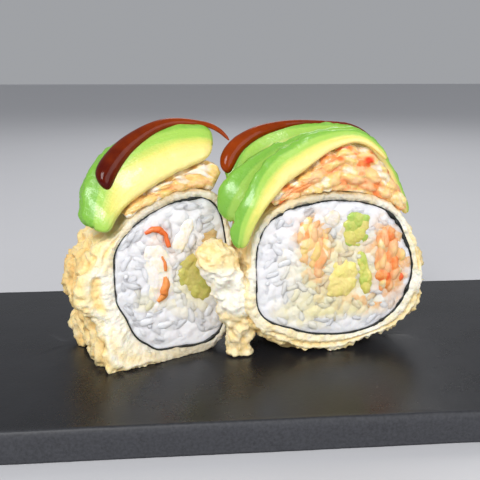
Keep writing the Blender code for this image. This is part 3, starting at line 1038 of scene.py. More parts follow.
@dataclass(frozen=True)
class RollForm:
    """The sizes of one piece of roll, and where its colours lie.

    Attributes:
        name: what its pieces' names start with.
        place: where the middle of its cut face stands on the board.
        turn: how far it is turned about the vertical, in degrees.
        length: how far it runs from cut face to cut face.
        half_left, half_right, half_height: the seaweed's half sizes.
        squareness: the power of the seaweed's superellipse.
        loop_tilt, loop_lobes: how far the seaweed is turned, and where it bulges.
        middle_height: how high the middle of the face is over the board.
        batter, batter_lobes: thickness of the batter at the cut face, plain and in lobes.
        back_lobes: what it gains towards the back.
        foot: how far the batter's outer edge comes forward of the cut face.
        heap_rise: the crab heap's height at angles, in millimetres.
        heap_ends: the angles of the heap's ends.
        slices: the avocado slices, front to back.
        slice_lean: the slices' lean out of the roll's length, in degrees.
        slice_forward: how far their left ends come forward.
        green_end: where the slices are green right through.
        glaze: the line of glaze.
        fillings: what lies in the rice.
        seed: what its noise and its random draws start from.
        mayo, blush: where the rice is yellow, and where orange.
        damp, toast: where the batter is grey, moist and in painted shade, and where brown.
        thick_seaweed: how far the seaweed's edge is smeared over the rice.
        salad: knots from a flake's number, 0 to 1, to its tint.
        salad_spots: patches of salad whose strength is their tint.
    """

    name: str
    place: tuple[float, float]
    turn: float
    length: float
    half_left: float
    half_right: float
    half_height: float
    squareness: float
    loop_tilt: float
    loop_lobes: tuple[Lobe, ...]
    middle_height: float
    batter: float
    batter_lobes: tuple[Lobe, ...]
    back_lobes: tuple[Lobe, ...]
    foot: Lobe
    heap_rise: tuple[tuple[float, float], ...]
    heap_ends: tuple[float, float]
    slices: tuple[SliceForm, ...]
    slice_lean: float
    slice_forward: float
    green_end: Lobe
    glaze: GlazeForm
    fillings: tuple[FillingForm, ...]
    seed: int
    mayo: tuple[Spot, ...]
    blush: tuple[Spot, ...]
    damp: tuple[Lobe, ...]
    toast: tuple[Lobe, ...]
    thick_seaweed: tuple[Lobe, ...]
    salad: tuple[tuple[float, float], ...]
    salad_spots: tuple[Spot, ...]

    def seaweed(self, degrees: np.ndarray) -> np.ndarray:
        """Radius of the seaweed's outer side: a superellipse, turned a little, with low lobes.

        Args:
            degrees: the angles that it is asked for.

        Returns:
            The radii.
        """
        angle = np.radians(degrees - self.loop_tilt)
        half = np.where(np.cos(angle) < 0, self.half_left, self.half_right)
        n = self.squareness
        oval = (abs(np.cos(angle) / half) ** n + abs(np.sin(angle) / self.half_height) ** n) ** (-1 / n)
        return oval + sum(lobe.at(degrees) for lobe in self.loop_lobes)

    def coat(self, degrees: np.ndarray, share: np.ndarray | float) -> np.ndarray:
        """Thickness of the batter, before its crags, at a share of the roll's length.

        Args:
            degrees: the angles that it is asked for.
            share: 0 at the front face and 1 at the back.

        Returns:
            The thicknesses.
        """
        front = self.batter + sum(lobe.at(degrees) for lobe in self.batter_lobes)
        return front + share * sum(lobe.at(degrees) for lobe in self.back_lobes)

    def covered(self, degrees: np.ndarray) -> np.ndarray:
        """1 where toppings lie on the batter, and 0 well away from them.

        Args:
            degrees: the angles that it is asked for.

        Returns:
            Numbers from 0 to 1.
        """
        first = max(cut.start for cut in self.slices)
        last = min(min(cut.end for cut in self.slices), self.heap_ends[0])
        past, fade = COVER_FADE
        return smooth((first + past - degrees) / fade) * smooth((degrees - last + past) / fade)

    def cover(self, degrees: np.ndarray) -> np.ndarray:
        """Radius on which the toppings lie, clear of the batter all along the roll."""
        thickest = np.maximum(self.coat(degrees, 0), self.coat(degrees, 1))
        return self.seaweed(degrees) + GAP + thickest + COVERED_CRAG + GAP

    def heap(self, degrees: np.ndarray) -> np.ndarray:
        """Radius of the crab heap's outside."""
        return self.cover(degrees) + between(degrees, self.heap_rise)

    def slice_frame(self, number: int, degrees: np.ndarray) -> tuple[np.ndarray, ...]:
        """How a slice lies on the heap.

        Args:
            number: which slice, from the front.
            degrees: angles along it.

        Returns:
            Root radii, root depths, widths and thicknesses at those angles.
        """
        width = between(degrees, self.slices[number].widths)
        thick = np.minimum(SLICE_THICKNESS, THIN_SLICE[0] * width + THIN_SLICE[1])
        pitch = (SLICE_THICKNESS + 1.5 * GAP) / math.sin(math.radians(self.slice_lean))
        sweep = smooth((degrees - SLICE_SWEEP[0]) / SLICE_SWEEP[1])
        depth = SLICE_FRONT + number * pitch - self.slice_forward * sweep
        radius = self.heap(degrees) + SLICE_CLEARANCE + thick / 2
        return radius, depth, width, thick

    def leaned(self, degrees: np.ndarray, radius: Any, depth: Any, reach: Any, off: Any) -> np.ndarray:
        """Points of a slice.

        Args:
            degrees: angles along the slice.
            radius: the radius of its root there.
            depth: the depth of its root there.
            reach: how far the points lie from the root along the slices' lean.
            off: how far they lie square to it.

        Returns:
            The points.
        """
        lean = math.radians(self.slice_lean)
        return around(
            degrees,
            radius + reach * math.sin(lean) + off * math.cos(lean),
            depth + reach * math.cos(lean) - off * math.sin(lean),
        )

    def placed(self, shell: Shell) -> Shell:
        """The shell, moved from the roll's frame to the board's.

        Args:
            shell: a shell of the roll.

        Returns:
            The same shell.
        """
        angle = math.radians(self.turn)
        u, s, v = shell.points.T
        shell.points = np.stack([
            self.place[0] + u * math.cos(angle) - s * math.sin(angle),
            self.place[1] + u * math.sin(angle) + s * math.cos(angle),
            BOARD_THICKNESS + self.middle_height + v,
        ], axis=-1)
        return shell


LEFT = RollForm(
    name="left",
    place=(-23.3 * MM, -10.4 * MM),
    turn=19.5,
    length=24 * MM,
    half_left=15.75 * MM,
    half_right=15.2 * MM,
    half_height=20.0 * MM,
    squareness=2.8,
    loop_tilt=0,
    loop_lobes=(
        Lobe(-3.0 * MM, 123, 38, 36),
        Lobe(-1.4 * MM, 98, 30, 26),
        Lobe(1.2 * MM, 60, 20, 30),
        Lobe(-1.4 * MM, 221, 26, 22),
        Lobe(1.5 * MM, 258, 60, 14),
        Lobe(2.6 * MM, 303, 26, 36),
    ),
    middle_height=23.9 * MM,
    batter=2.0 * MM,
    batter_lobes=(
        Lobe(6.6 * MM, 187, 48, 50),
        Lobe(8.6 * MM, 230, 26, 24),
        Lobe(1.4 * MM, 275, 40, 50),
        Lobe(-0.8 * MM, 0, 50, 40),
    ),
    back_lobes=(Lobe(5.0 * MM, 218, 35, 40), Lobe(-1.0 * MM, 180, 30, 30)),
    foot=Lobe(4.4 * MM, 232, 64, 24),
    heap_rise=(
        (48, 0), (54, 3.4), (60, 5.6), (66, 6.4), (70, 6.2), (75, 5.1), (90, 3.1), (113, 1.3), (133, 0.9),
        (146, 0),
    ),
    heap_ends=(62, 126),
    slices=(
        SliceForm(145, 69, ((69, 9.8), (83, 13.8), (90, 15.0), (113, 15.2), (127, 12.8), (145, 8.6))),
        SliceForm(146, 67, ((67, 8.4), (83, 12.0), (90, 12.8), (113, 14.0), (127, 11.4), (146, 7.6))),
        SliceForm(146, 66, (
            (66, 8.4), (83, 11.2), (98, 11.6), (106, 12.7), (113, 12.7), (127, 10.1), (146, 6.6),
        )),
        SliceForm(144, 70, (
            (70, 8.8), (83, 10.6), (98, 10.6), (106, 11.5), (113, 11.3), (127, 8.7), (144, 5.8),
        )),
    ),
    slice_lean=55,
    slice_forward=2.6 * MM,
    green_end=Lobe(0.7, 150, 40, 42),
    glaze=GlazeForm(
        0,
        125.5,
        63,
        ((63, 0.65), (75, 0.75), (83, 1.0), (98, 2.0), (113, 3.1), (126, 3.6)),
        ((63, 4.0), (66, 1.7), (70, 0.3), (75, 0.1), (90, 1.2), (98, 1.8), (120, 4.9)),
        (0.0, 0.6),
    ),
    fillings=(
        FillingForm(
            "crab_stick", Kind.CRAB, (-4.0, -0.5), (3.6, 9.5), 4,
            ((0, 0.0), (1, 0.03)), (3.0, 4.5), relief=0.5 * MM, crease=0.05,
        ),
        FillingForm(
            "crab_flake", Kind.CRAB, (3.0, 9.8), (1.9, 5.0), -28,
            ((0, 0.0), (1, 0.03)), (4.0, 7.0), relief=0.3 * MM, crease=0.0,
        ),
        FillingForm(
            "avocado_strip", Kind.AVOCADO, (6.8, -1.9), (5.4, 6.9), 4,
            ((0, 0.1), (1, 0.45)), (2.4, 3.4), relief=0.6 * MM, ragged=0.28, dull=0.6,
        ),
        FillingForm(
            "crab_chunk", Kind.CRAB, (10.2, 8.6), (2.4, 2.2), 0,
            ((0, 0.1), (1, 0.3)), (3.0, 3.0), relief=0.4 * MM, dull=0.9,
        ),
    ),
    seed=3,
    mayo=(
        Spot(6, -3, 9, 10, 0.7),
        Spot(-8, -6.5, 3.5, 3, 0.6),
        Spot(-5, -8.5, 3, 2, 0.5),
    ),
    blush=(Spot(-3, 6, 5, 8, 0.25),),
    # grey batter under the toppings and along the foot: moist batter and painted shade
    damp=(Lobe(0.75, 100, 60, 70), Lobe(0.9, 285, 32, 60)),
    toast=(Lobe(0.5, 186, 44, 44), Lobe(0.15, 232, 25, 25), Lobe(0.2, 150, 20, 20)),
    thick_seaweed=(Lobe(0.5 * MM, 78, 14, 12), Lobe(0.6 * MM, 290, 30, 26)),
    salad=((0, 0.0), (0.3, 0.08), (0.45, 0.26), (0.9, 0.34), (1, 0.5)),
    salad_spots=(
        Spot(-4.2, 22.5, 1.6, 1.2, 0.0),
        Spot(1.9, 26.1, 1.8, 1.2, 0.0),
        Spot(8.9, 27.2, 2.2, 1.6, 0.05),
        Spot(-8.0, 19.5, 4.0, 1.2, 0.36),
        Spot(1.0, 22.8, 4.0, 1.0, 0.42),
        Spot(9.0, 23.6, 4.0, 1.0, 0.44),
    ),
)

RIGHT = RollForm(
    name="right",
    place=(20.2 * MM, -11.0 * MM),
    turn=8.5,
    length=24 * MM,
    half_left=22.3 * MM,
    half_right=22.3 * MM,
    half_height=18.8 * MM,
    squareness=2.3,
    loop_tilt=-6,
    loop_lobes=(Lobe(1.5 * MM, 145, 40, 35), Lobe(-1.4 * MM, 20, 30, 30), Lobe(1.8 * MM, 209, 25, 25)),
    middle_height=24.0 * MM,
    batter=2.0 * MM,
    batter_lobes=(
        Lobe(1.6 * MM, 350, 60, 50),
        Lobe(2.8 * MM, 325, 34, 34),
        Lobe(3.0 * MM, 255, 60, 50),
        Lobe(1.4 * MM, 232, 28, 30),
        Lobe(1.6 * MM, 205, 30, 24),
        Lobe(-0.5 * MM, 170, 30, 24),
    ),
    back_lobes=(),
    foot=Lobe(0.5 * MM, 270, 60, 60),
    heap_rise=(
        (34, 0), (46, 2.4), (52, 3.8), (60, 6.1), (76, 10.9), (82, 11.6), (88, 10.9), (108, 5.2), (126, 2.5),
        (144, 0.1),
    ),
    heap_ends=(40, 134),
    slices=(
        SliceForm(163, 66, ((66, 2.2), (80, 2.7), (90, 4.5), (102, 7.0), (108, 8.0), (120, 8.0), (163, 4.8))),
        SliceForm(154, 30, (
            (30, 2.6), (60, 3.1), (84, 3.8), (90, 4.5), (114, 8.8), (126, 9.8), (144, 11.7), (154, 10.2),
        )),
        SliceForm(142, 34, (
            (34, 3.6), (44, 4.4), (68, 4.6), (84, 4.0), (90, 5.0), (108, 11.7), (120, 14.4), (132, 14.2),
            (142, 10.2),
        )),
        SliceForm(136, 32, (
            (32, 4.8), (44, 5.8), (60, 6.0), (84, 3.6), (90, 4.4), (108, 11.5), (114, 12.5), (126, 12.6),
            (136, 9.8),
        )),
    ),
    slice_lean=66,
    slice_forward=4.4 * MM,
    green_end=Lobe(0.45, 160, 30, 50),
    glaze=GlazeForm(
        2,
        138,
        62,
        ((62, 0.5), (96, 0.5), (108, 1.2), (126, 2.1), (138, 3.0)),
        ((62, 0.1), (96, 0.2), (108, 0.9), (120, 1.4), (126, 1.4), (137, 0.6)),
        (0.5, 0.1),
    ),
    fillings=(
        FillingForm(
            "crab_shreds", Kind.CRAB, (14.8, 1.2), (4.2, 9.4), 6,
            ((0, 0.05), (0.15, 0.4), (0.5, 0.6), (0.8, 0.76), (1, 0.95)), (2.0, 3.4),
            relief=1.5 * MM, crease=1.3,
        ),
        FillingForm(
            "avocado_high", Kind.AVOCADO, (4.9, 11.2), (3.8, 5.0), 0,
            ((0, 0.12), (0.3, 0.42), (1, 0.62)), (2.6, 3.0), relief=0.6 * MM, ragged=0.3, dull=0.25,
        ),
        FillingForm(
            "avocado_side", Kind.AVOCADO, (8.1, -1.8), (1.6, 6.4), 12,
            ((0, 0.2), (1, 0.5)), (2.6, 3.0), relief=0.5 * MM, ragged=0.24, dull=0.1,
        ),
        FillingForm(
            "crab_chunk", Kind.CRAB, (-1.9, 14.0), (2.1, 2.2), 0,
            ((0, 0.02), (1, 0.08)), (4.0, 4.0), relief=0.3 * MM, crease=0.2, dull=0.3, ragged=0.06,
        ),
        FillingForm(
            "avocado_low", Kind.AVOCADO, (1.6, -3.0), (4.0, 5.2), -10,
            ((0, 0.0), (0.6, 0.06), (1, 0.16)), (3.4, 4.0), relief=0.5 * MM, ragged=0.24, slope=0.1,
        ),
        FillingForm(
            "crab_strips", Kind.CRAB, (-6.6, 6.6), (4.2, 7.4), 8,
            ((0, 0.0), (0.3, 0.2), (0.6, 0.42), (0.85, 0.56), (1, 0.8)), (1.8, 3.4),
            relief=1.1 * MM, ragged=0.26, crease=0.7,
        ),
    ),
    seed=8,
    mayo=(
        Spot(0, -1, 15, 14, 0.95),
        Spot(-10, -11, 8, 6, 0.6),
        Spot(5, -11, 12, 3.5, 0.5),
    ),
    blush=(
        Spot(-7, 11, 7, 6, 0.8),
        Spot(-3, 1, 9, 10, 0.4),
        Spot(15, 1, 8, 14, 0.9),
        Spot(8, -10, 9, 4, 0.4),
    ),
    # grey batter under the toppings: moist batter and painted shade
    damp=(Lobe(0.75, 100, 60, 80),),
    toast=(Lobe(0.3, 350, 60, 60), Lobe(0.3, 280, 50, 50), Lobe(0.2, 232, 40, 40)),
    thick_seaweed=(
        Lobe(1.0 * MM, 131, 12, 12),
        Lobe(0.5 * MM, 112, 14, 12),
        Lobe(1.0 * MM, 40, 16, 14),
        Lobe(1.2 * MM, 20, 12, 10),
        Lobe(1.0 * MM, 335, 16, 16),
        Lobe(0.8 * MM, 312, 14, 12),
        Lobe(0.6 * MM, 285, 16, 12),
    ),
    salad=((0, 0.05), (0.25, 0.2), (0.5, 0.42), (0.8, 0.56), (0.94, 0.7), (1, 0.86)),
    salad_spots=(
        Spot(7.4, 29.0, 1.9, 1.3, 1.0),
        Spot(-5.2, 30.2, 1.6, 0.8, 0.8),
        Spot(-0.3, 29.5, 1.2, 0.8, 0.8),
        Spot(-15.0, 22.4, 1.6, 1.0, 0.72),
        Spot(-10.8, 22.3, 1.6, 1.0, 0.72),
        Spot(5.4, 25.7, 1.4, 0.9, 0.76),
        Spot(10.0, 22.4, 2.0, 1.0, 0.74),
        Spot(1.0, 23.8, 1.6, 0.6, 0.72),
        Spot(6.1, 31.6, 3.4, 1.2, 0.0),
        Spot(-4.4, 24.4, 1.6, 1.2, 0.02),
        Spot(3.4, 20.6, 4.4, 0.9, 0.04),
        Spot(-12.4, 23.8, 1.6, 1.0, 0.02),
        Spot(1.6, 26.6, 2.2, 1.4, 0.04),
    ),
)


# Pieces


@dataclass
class Board:
    """The slate board: a slab with chamfered, chipped edges and a faintly uneven top.

    Attributes:
        length: its size from left to right.
        depth: its size from front to back.
        chamfer: the bevel round its top.
        chips: how deep its edges are worn.
        uneven: how deep the hollows of its top are.
        insets: how far in from the bevel the rings of its top lie, in millimetres.
        steps: points along a long side and along a short one.
    """

    length: float = 200 * MM
    depth: float = 89 * MM
    chamfer: float = 1.0 * MM
    chips: float = 0.5 * MM
    uneven: float = 0.06 * MM
    insets: tuple[float, ...] = (0.6, 1.6, 3.5, 7, 11, 16, 22, 29, 36, 42)
    steps: tuple[int, int] = (190, 84)

    def profile(self) -> np.ndarray:
        """Rings from the underside to the middle of the top: inset from the outline, height, and wear.

        Returns:
            A row for each ring.
        """
        edge, top = self.chamfer, BOARD_THICKNESS
        rings = [(0.5 * edge, 0.0, 0.0), (0.1 * edge, 0.15 * edge, 0.4), (0.0, 0.5 * edge, 1.0)]
        rings += [(0.0, height, 1.0) for height in np.linspace(0.15, 0.78, 7) * top]
        rings += [(0.2 * edge, top - edge, 1.0), (0.5 * edge, top - 0.4 * edge, 0.8), (edge, top, 0.5)]
        rings += [(edge + inset * MM, top, 0.0) for inset in self.insets]
        return np.array(rings)

    def shell(self) -> Shell:
        """A rectangle's outline carried up the profile and in over the top, its edges worn by noise.

        Returns:
            The board's shell.
        """
        half = np.array([self.length / 2, self.depth / 2])
        along, up = (np.linspace(-1, 1, steps, endpoint=False) for steps in self.steps)
        outline = np.concatenate([
            np.stack([along, np.full_like(along, -1)], -1),
            np.stack([np.full_like(up, 1), up], -1),
            np.stack([-along, np.full_like(along, 1)], -1),
            np.stack([np.full_like(up, -1), -up], -1),
        ])
        inset, height, worn = self.profile().T
        flat = outline[None] * (half - inset[:, None])[:, None, :]
        grid = np.concatenate([flat, np.broadcast_to(height[:, None, None], (*flat.shape[:2], 1))], axis=-1)
        chipped = (noise(grid, 7 * MM, 5) + 1) / 2 + 0.5 * crumbs(grid, 2.2 * MM, 9)
        outward = np.where(abs(outline) > 0.999, np.sign(outline), 0)
        grid[..., :2] -= (chipped * worn[:, None] * self.chips / 1.5)[..., None] * outward[None]
        plain = (worn == 0) & (height == BOARD_THICKNESS)
        grid[..., 2] += plain[:, None] * self.uneven * (fractal(grid, 16 * MM, 31, 3) - 1)
        return lofted(grid, Ends.POLES, {"chipped": worn[:, None]})

    def build(self, finishes: Finishes) -> None:
        """Makes the board."""
        piece("slate_board", self.shell(), finishes.slate, ("board",))


@dataclass
class BatterCoat:
    """The fried coat of a roll, with the crags outside, the open crumb of its cut faces, and its loose flap.

    Attributes:
        roll: the roll's sizes.
        crags: depths of the ridges, lumps, grit and fine noise outside, in millimetres.
        crumb: the same on the cut faces.
        lump: the lumps' size.
        pits: depth of the brown pits in the front face.
        columns: points round the coat.
        face_rows: rings over each cut face.
        side_rows: rings along the outside.
    """

    roll: RollForm
    crags: tuple[float, float, float, float] = (1.9, 0.5, 0.25, 0.25)
    crumb: tuple[float, float, float, float] = (0.0, 0.35, 0.3, 0.3)
    lump: float = 2.3 * MM
    pits: float = 1.1 * MM
    columns: int = 540
    face_rows: int = 26
    side_rows: int = 62

    def profile(self) -> tuple[np.ndarray, np.ndarray]:
        """Shares of the coat's thickness and of the roll's length: out over the front, along, in again.

        Returns:
            The two shares, ring by ring.
        """
        face = np.linspace(0, 1, self.face_rows)
        swell = 0.05 * smooth((face - 0.7) / 0.3) ** 1.5 - 0.015 * np.sin(math.pi * np.clip(face / 0.8, 0, 1))
        side = np.linspace(0.05, 0.95, self.side_rows + 2)[1:-1]
        inner = np.array([0.75, 0.5, 0.25])
        thick = np.concatenate([face, np.ones_like(side), face[::-1], np.zeros_like(inner)])
        along = np.concatenate([swell, side, 1 - swell[::-1], inner])
        return thick, along

    def shell(self) -> Shell:
        """The coat: its thickness round the roll, with crags outside and crumb on the faces.

        Returns:
            The shell, with its tone and its grey, which is partly moist batter and partly painted shade.
        """
        roll = self.roll
        degrees = circle(self.columns, 360)
        thick, along = (values[:, None] for values in self.profile())
        share = np.clip(along, 0, 1)
        depth = along * roll.length - thick * roll.foot.at(degrees) * (1 - share) ** 2
        grid = around(degrees, roll.seaweed(degrees) + SEAM + thick * roll.coat(degrees, share), depth)
        covered = roll.covered(degrees)
        crag = COVERED_CRAG + (BATTER_CRAG - COVERED_CRAG) * (1 - covered)
        outside = smooth((thick - 0.7) / 0.3)
        grid = grid + around(degrees, noise(grid, CRAG_SIZE, roll.seed) * crag * outside, 0)
        crags = Crags.at(grid, self.lump, roll.seed)
        bare = (1 - 0.75 * covered) * outside
        cut = (thick > 0.02) * (1 - outside)
        toast = sum(lobe.at(degrees) for lobe in roll.toast)
        patches = smooth(0.75 + 1.4 * fractal(grid, 5 * MM, roll.seed + 66, 2))
        pit = np.clip(3 * patches * smooth(1 - abs(thick - 0.56) / 0.26) * (along < 0.06) * toast, 0, 1)
        lift = bare * crags.lift(self.crags) + cut * crags.lift(self.crumb) - self.pits * pit
        grid = raised(grid, lift, Ends.JOINED)
        grid[..., 2] = np.maximum(grid[..., 2], FLOOR_RISE - roll.middle_height)
        patch = fractal(grid, 6 * MM, roll.seed + 65, 2)
        # more golden where toasted towards the back and away from the ridges of the crags, paler along the
        # ridges
        brown = 0.26 + 0.7 * toast * smooth(share * 4) + 0.3 * smooth(0.5 - crags.ridge)
        tone = 0.14 + outside * brown + 0.55 * pit + 0.2 * patch + 0.15 * crags.fine
        # grey batter by the toppings and at the foot: moist batter and painted shade
        damp = sum(lobe.at(degrees) for lobe in roll.damp) * (1 - 0.8 * outside * (1 - covered))
        return lofted(grid, Ends.JOINED, {"tone": tone, "damp": np.clip(damp, 0, 1) * np.ones_like(tone)})

    def build(self, finishes: Finishes) -> None:
        """Makes the coat, and the flap beside the right roll.

        Args:
            finishes: every finish.
        """
        shells = [self.shell()]
        if self.roll is RIGHT:
            shells.append(Flap(self.roll).shell())
        name = self.roll.name
        shell = self.roll.placed(joined(shells))
        piece(f"{name}_batter_coat", shell, finishes.batter, (f"{name}_batter",))


@dataclass
class Flap:
    """The loose flap of batter at the right roll's near left corner, standing on the board.

    Attributes:
        roll: the roll's sizes.
        path: u, s, v and half width from its top down, in millimetres.
        flatness: its thickness as a share of its width.
        crags: depths of its ridges, lumps, grit and fine noise, in millimetres.
        lump: the lumps' size.
        rows: rings down the flap.
        columns: points round it.
    """

    roll: RollForm
    path: tuple[tuple[float, float, float, float], ...] = (
        (-32.5, 4.2, 9.0, 1.0),
        (-32.6, 4.3, 6.0, 5.0),
        (-31.6, 4.3, 2.0, 5.7),
        (-28.8, 4.3, -3.0, 5.6),
        (-27.0, 4.3, -9.0, 4.8),
        (-26.3, 4.5, -16.0, 4.0),
        (-25.6, 4.7, -23.6, 3.4),
    )
    flatness: float = 0.68
    crags: tuple[float, float, float, float] = (1.3, 0.5, 0.25, 0.3)
    lump: float = 2.4 * MM
    rows: int = 120
    columns: int = 90

    def shell(self) -> Shell:
        """Flattened rings along the path, with crags; golden at its knob and foot, and white between.

        Returns:
            The flap's shell.
        """
        seed = self.roll.seed
        u, s, v, reach = traced(np.array(self.path) * MM, self.rows).T[..., None]
        turn = circle(self.columns)
        sides = u + reach * np.cos(turn), s + self.flatness * reach * np.sin(turn)
        grid = np.stack(np.broadcast_arrays(*sides, v), axis=-1)
        crags = Crags.at(grid, self.lump, seed, 1)
        lift = 0.6 * MM * noise(grid, CRAG_SIZE, seed) + crags.lift(self.crags)
        grid = raised(grid, lift, Ends.POLES)
        grid[..., 2] = np.maximum(grid[..., 2], FLOOR_RISE - self.roll.middle_height)
        height = v / MM
        golden = 1.1 * smooth((height - 0.5) / 3) + 0.9 * smooth((-height - 8) / 5)
        tone = 0.02 + 0.45 * golden - 0.25 * crags.lumps + 0.2 * crags.fine
        return lofted(grid, Ends.POLES, {"tone": tone, "damp": 0.0})


@dataclass
class SeaweedSheet:
    """The sheet of seaweed round the rice, with a ragged cut edge.

    Attributes:
        roll: the roll's sizes.
        thickness: the sheet's own.
        proud: how far its edges stand out of the front face and of the back one.
        frayed: how far its front edge wanders.
        columns: points round it.
        rows: points over its outside, and over its inside.
    """

    roll: RollForm
    thickness: float = 0.28 * MM
    proud: tuple[float, float] = (0.15 * MM, 0.4 * MM)
    frayed: float = 0.35 * MM
    columns: int = 480
    rows: int = 12

    def shell(self) -> Shell:
        """A closed band, thicker where its edge is smeared over the rice.

        Returns:
            The sheet's shell.
        """
        roll = self.roll
        degrees = circle(self.columns, 360)
        outer = roll.seaweed(degrees) + SEAM
        rim = around(degrees, outer, 0)
        ragged = fractal(rim, 1.8 * MM, roll.seed + 70, 3)
        smeared = sum(lobe.at(degrees) for lobe in roll.thick_seaweed)
        smeared = smeared * np.clip(0.6 + 0.9 * fractal(rim, 2.4 * MM, roll.seed + 80, 3), 0, 1.3)
        front = -self.proud[0] - self.frayed * ragged - 0.3 * smeared
        share = np.concatenate([np.linspace(0, 1, self.rows), np.linspace(1, 0, self.rows)])[:, None]
        inside = (np.arange(2 * self.rows) >= self.rows)[:, None]
        depth = front + share * (roll.length + self.proud[1] - front)
        smear = smeared * smooth(1 - share * 6)
        radius = outer - inside * (self.thickness + 0.12 * MM * ragged + smear)
        return lofted(around(degrees, radius, depth), Ends.JOINED)

    def build(self, finishes: Finishes) -> None:
        """Makes the sheet."""
        name = self.roll.name
        shell = self.roll.placed(self.shell())
        piece(f"{name}_seaweed_sheet", shell, finishes.seaweed, (f"{name}_seaweed",))


@dataclass
class RiceBed:
    """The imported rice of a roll: a softly lumpy core, with whole grains sunk in both cut faces.

    Attributes:
        roll: the roll's sizes.
        grain_size: a grain's length, width and thickness.
        spacing: from a grain to the next in its row.
        row_step: from a row to the next, in spacings.
        reach: how many rows there are to each side of the middle.
        jitter: how far a grain is off its place.
        room: the least from a grain's middle to the seaweed.
        edge: grains nearer the seaweed than this lie along it.
        steep: the share of the others that are tipped into the rice.
        inset: from the core to the seaweed.
        sunk: from the cut faces in to the core.
        lump: size of the core's lumps.
        columns: points round the core.
        rows: rings over each of its faces.
    """

    roll: RollForm
    grain_size: tuple[float, float, float] = (6.0 * MM, 2.9 * MM, 2.5 * MM)
    spacing: float = 2.5 * MM
    row_step: float = 0.866
    reach: int = 12
    jitter: float = 0.8 * MM
    room: float = 1.6 * MM
    edge: float = 3.6 * MM
    steep: float = 0.12
    inset: float = 0.3 * MM
    sunk: float = 0.1 * MM
    lump: float = 2.7 * MM
    columns: int = 330
    rows: int = 60

    def tints(self, points: np.ndarray, number: np.ndarray) -> dict[str, np.ndarray]:
        """The rice's colours.

        Args:
            points: places in the rice.
            number: a number from 0 to 1 for each, the same all over a lump or a grain.

        Returns:
            How yellow, how orange and how grey it is at each.
        """
        loose = number - 0.5
        mayo = sum(spot.at(points) for spot in self.roll.mayo)
        blush = sum(spot.at(points) for spot in self.roll.blush)
        return {
            "mayo": np.clip(mayo + 0.5 * loose * (mayo > 0.05), 0, 1),
            "blush": np.clip(blush * (1 + 2.2 * (number * 7.3 % 1 - 0.5)), 0, 1),
            "shade": np.clip(0.25 + 0.5 * loose, 0, 1),
        }

    def core(self) -> Shell:
        """A plug inside the seaweed, drawn from the middle of one face to the middle of the other.

        Returns:
            The core's shell.
        """
        seed = self.roll.seed
        degrees = circle(self.columns, 360)
        edge = self.roll.seaweed(degrees) - self.inset
        out = np.linspace(0.02, 1, self.rows)
        share = np.concatenate([out, [1, 1, 1], out[::-1]])[:, None]
        along = np.concatenate([np.zeros(self.rows), [0.25, 0.5, 0.75], np.ones(self.rows)])[:, None]
        grid = around(degrees, share * edge, self.sunk + along * (self.roll.length - 2 * self.sunk))
        height, number = knobs(grid + 1.2 * MM * drift(grid, 5 * MM, seed + 1), self.lump, seed + 90)
        lumps = 0.6 * (height - 0.7) + 0.15 * fractal(grid, 1.5 * MM, seed + 91, 2)
        facing = np.where(along == 0, -1, np.where(along == 1, 1, 0)) * (share < 0.99)
        grid[..., 1] += facing * MM * lumps
        shell = lofted(grid, Ends.POLES, {"number": number})
        shell.marks = self.tints(shell.points, shell.marks["number"])
        return shell

    def grains(self, draw: np.random.Generator) -> Shell:
        """Whole grains on both faces, on a jittered grid of triangles, but none on the fillings.

        Args:
            draw: where the random numbers come from.

        Returns:
            The grains as one shell.
        """
        steps = np.arange(-self.reach, self.reach + 1)
        column, row = (axis.ravel() for axis in np.meshgrid(steps, steps))
        grain = pod(8, 10, 0.7)
        shells = []
        for back in (False, True):
            flat = np.stack([column + row % 2 / 2, row * self.row_step], axis=-1) * self.spacing
            flat = flat + draw.uniform(-self.jitter, self.jitter, flat.shape)
            degrees = np.degrees(np.arctan2(flat[:, 1], flat[:, 0]))
            room = self.roll.seaweed(degrees) - np.hypot(*flat.T)
            filled = sum(filling.holds(flat, -self.inset) for filling in self.roll.fillings)
            kept = (room > self.room) & (filled == 0)
            flat, degrees, room = flat[kept], degrees[kept], room[kept]
            count = len(flat)
            heading = draw.uniform(0, math.pi, count)
            at_edge = room < self.edge
            heading = np.where(at_edge, np.radians(degrees + 90) + draw.uniform(-0.35, 0.35, count), heading)
            steep = (draw.random(count) < self.steep) & ~at_edge
            tilt = np.where(steep, draw.uniform(0.5, 0.9, count), draw.uniform(-0.12, 0.12, count))
            depth = np.where(steep, 2.4, draw.uniform(1.0, 1.55, count)) * MM
            depth = self.roll.length - depth if back else depth
            places = np.stack([flat[:, 0], depth, flat[:, 1]], axis=-1)
            sizes = np.array(self.grain_size) * draw.uniform(0.86, 1.1, (count, 3))
            axes = turned(heading, tilt, draw.uniform(-0.6, 0.6, count))
            bends = draw.uniform(-0.25, 0.25, count) * MM
            marks = self.tints(places, draw.uniform(0, 1, count))
            shells.append(scattered(grain, places, axes, sizes, marks, bends))
        return roughened(joined(shells), 0.12 * MM, 1.3 * MM, self.roll.seed)

    def build(self, finishes: Finishes, draw: np.random.Generator) -> None:
        """Makes the core and its grains."""
        name = self.roll.name
        piece(f"{name}_rice_core", self.roll.placed(self.core()), finishes.rice, (f"{name}_rice",))
        piece(f"{name}_rice_grains", self.roll.placed(self.grains(draw)), finishes.rice)


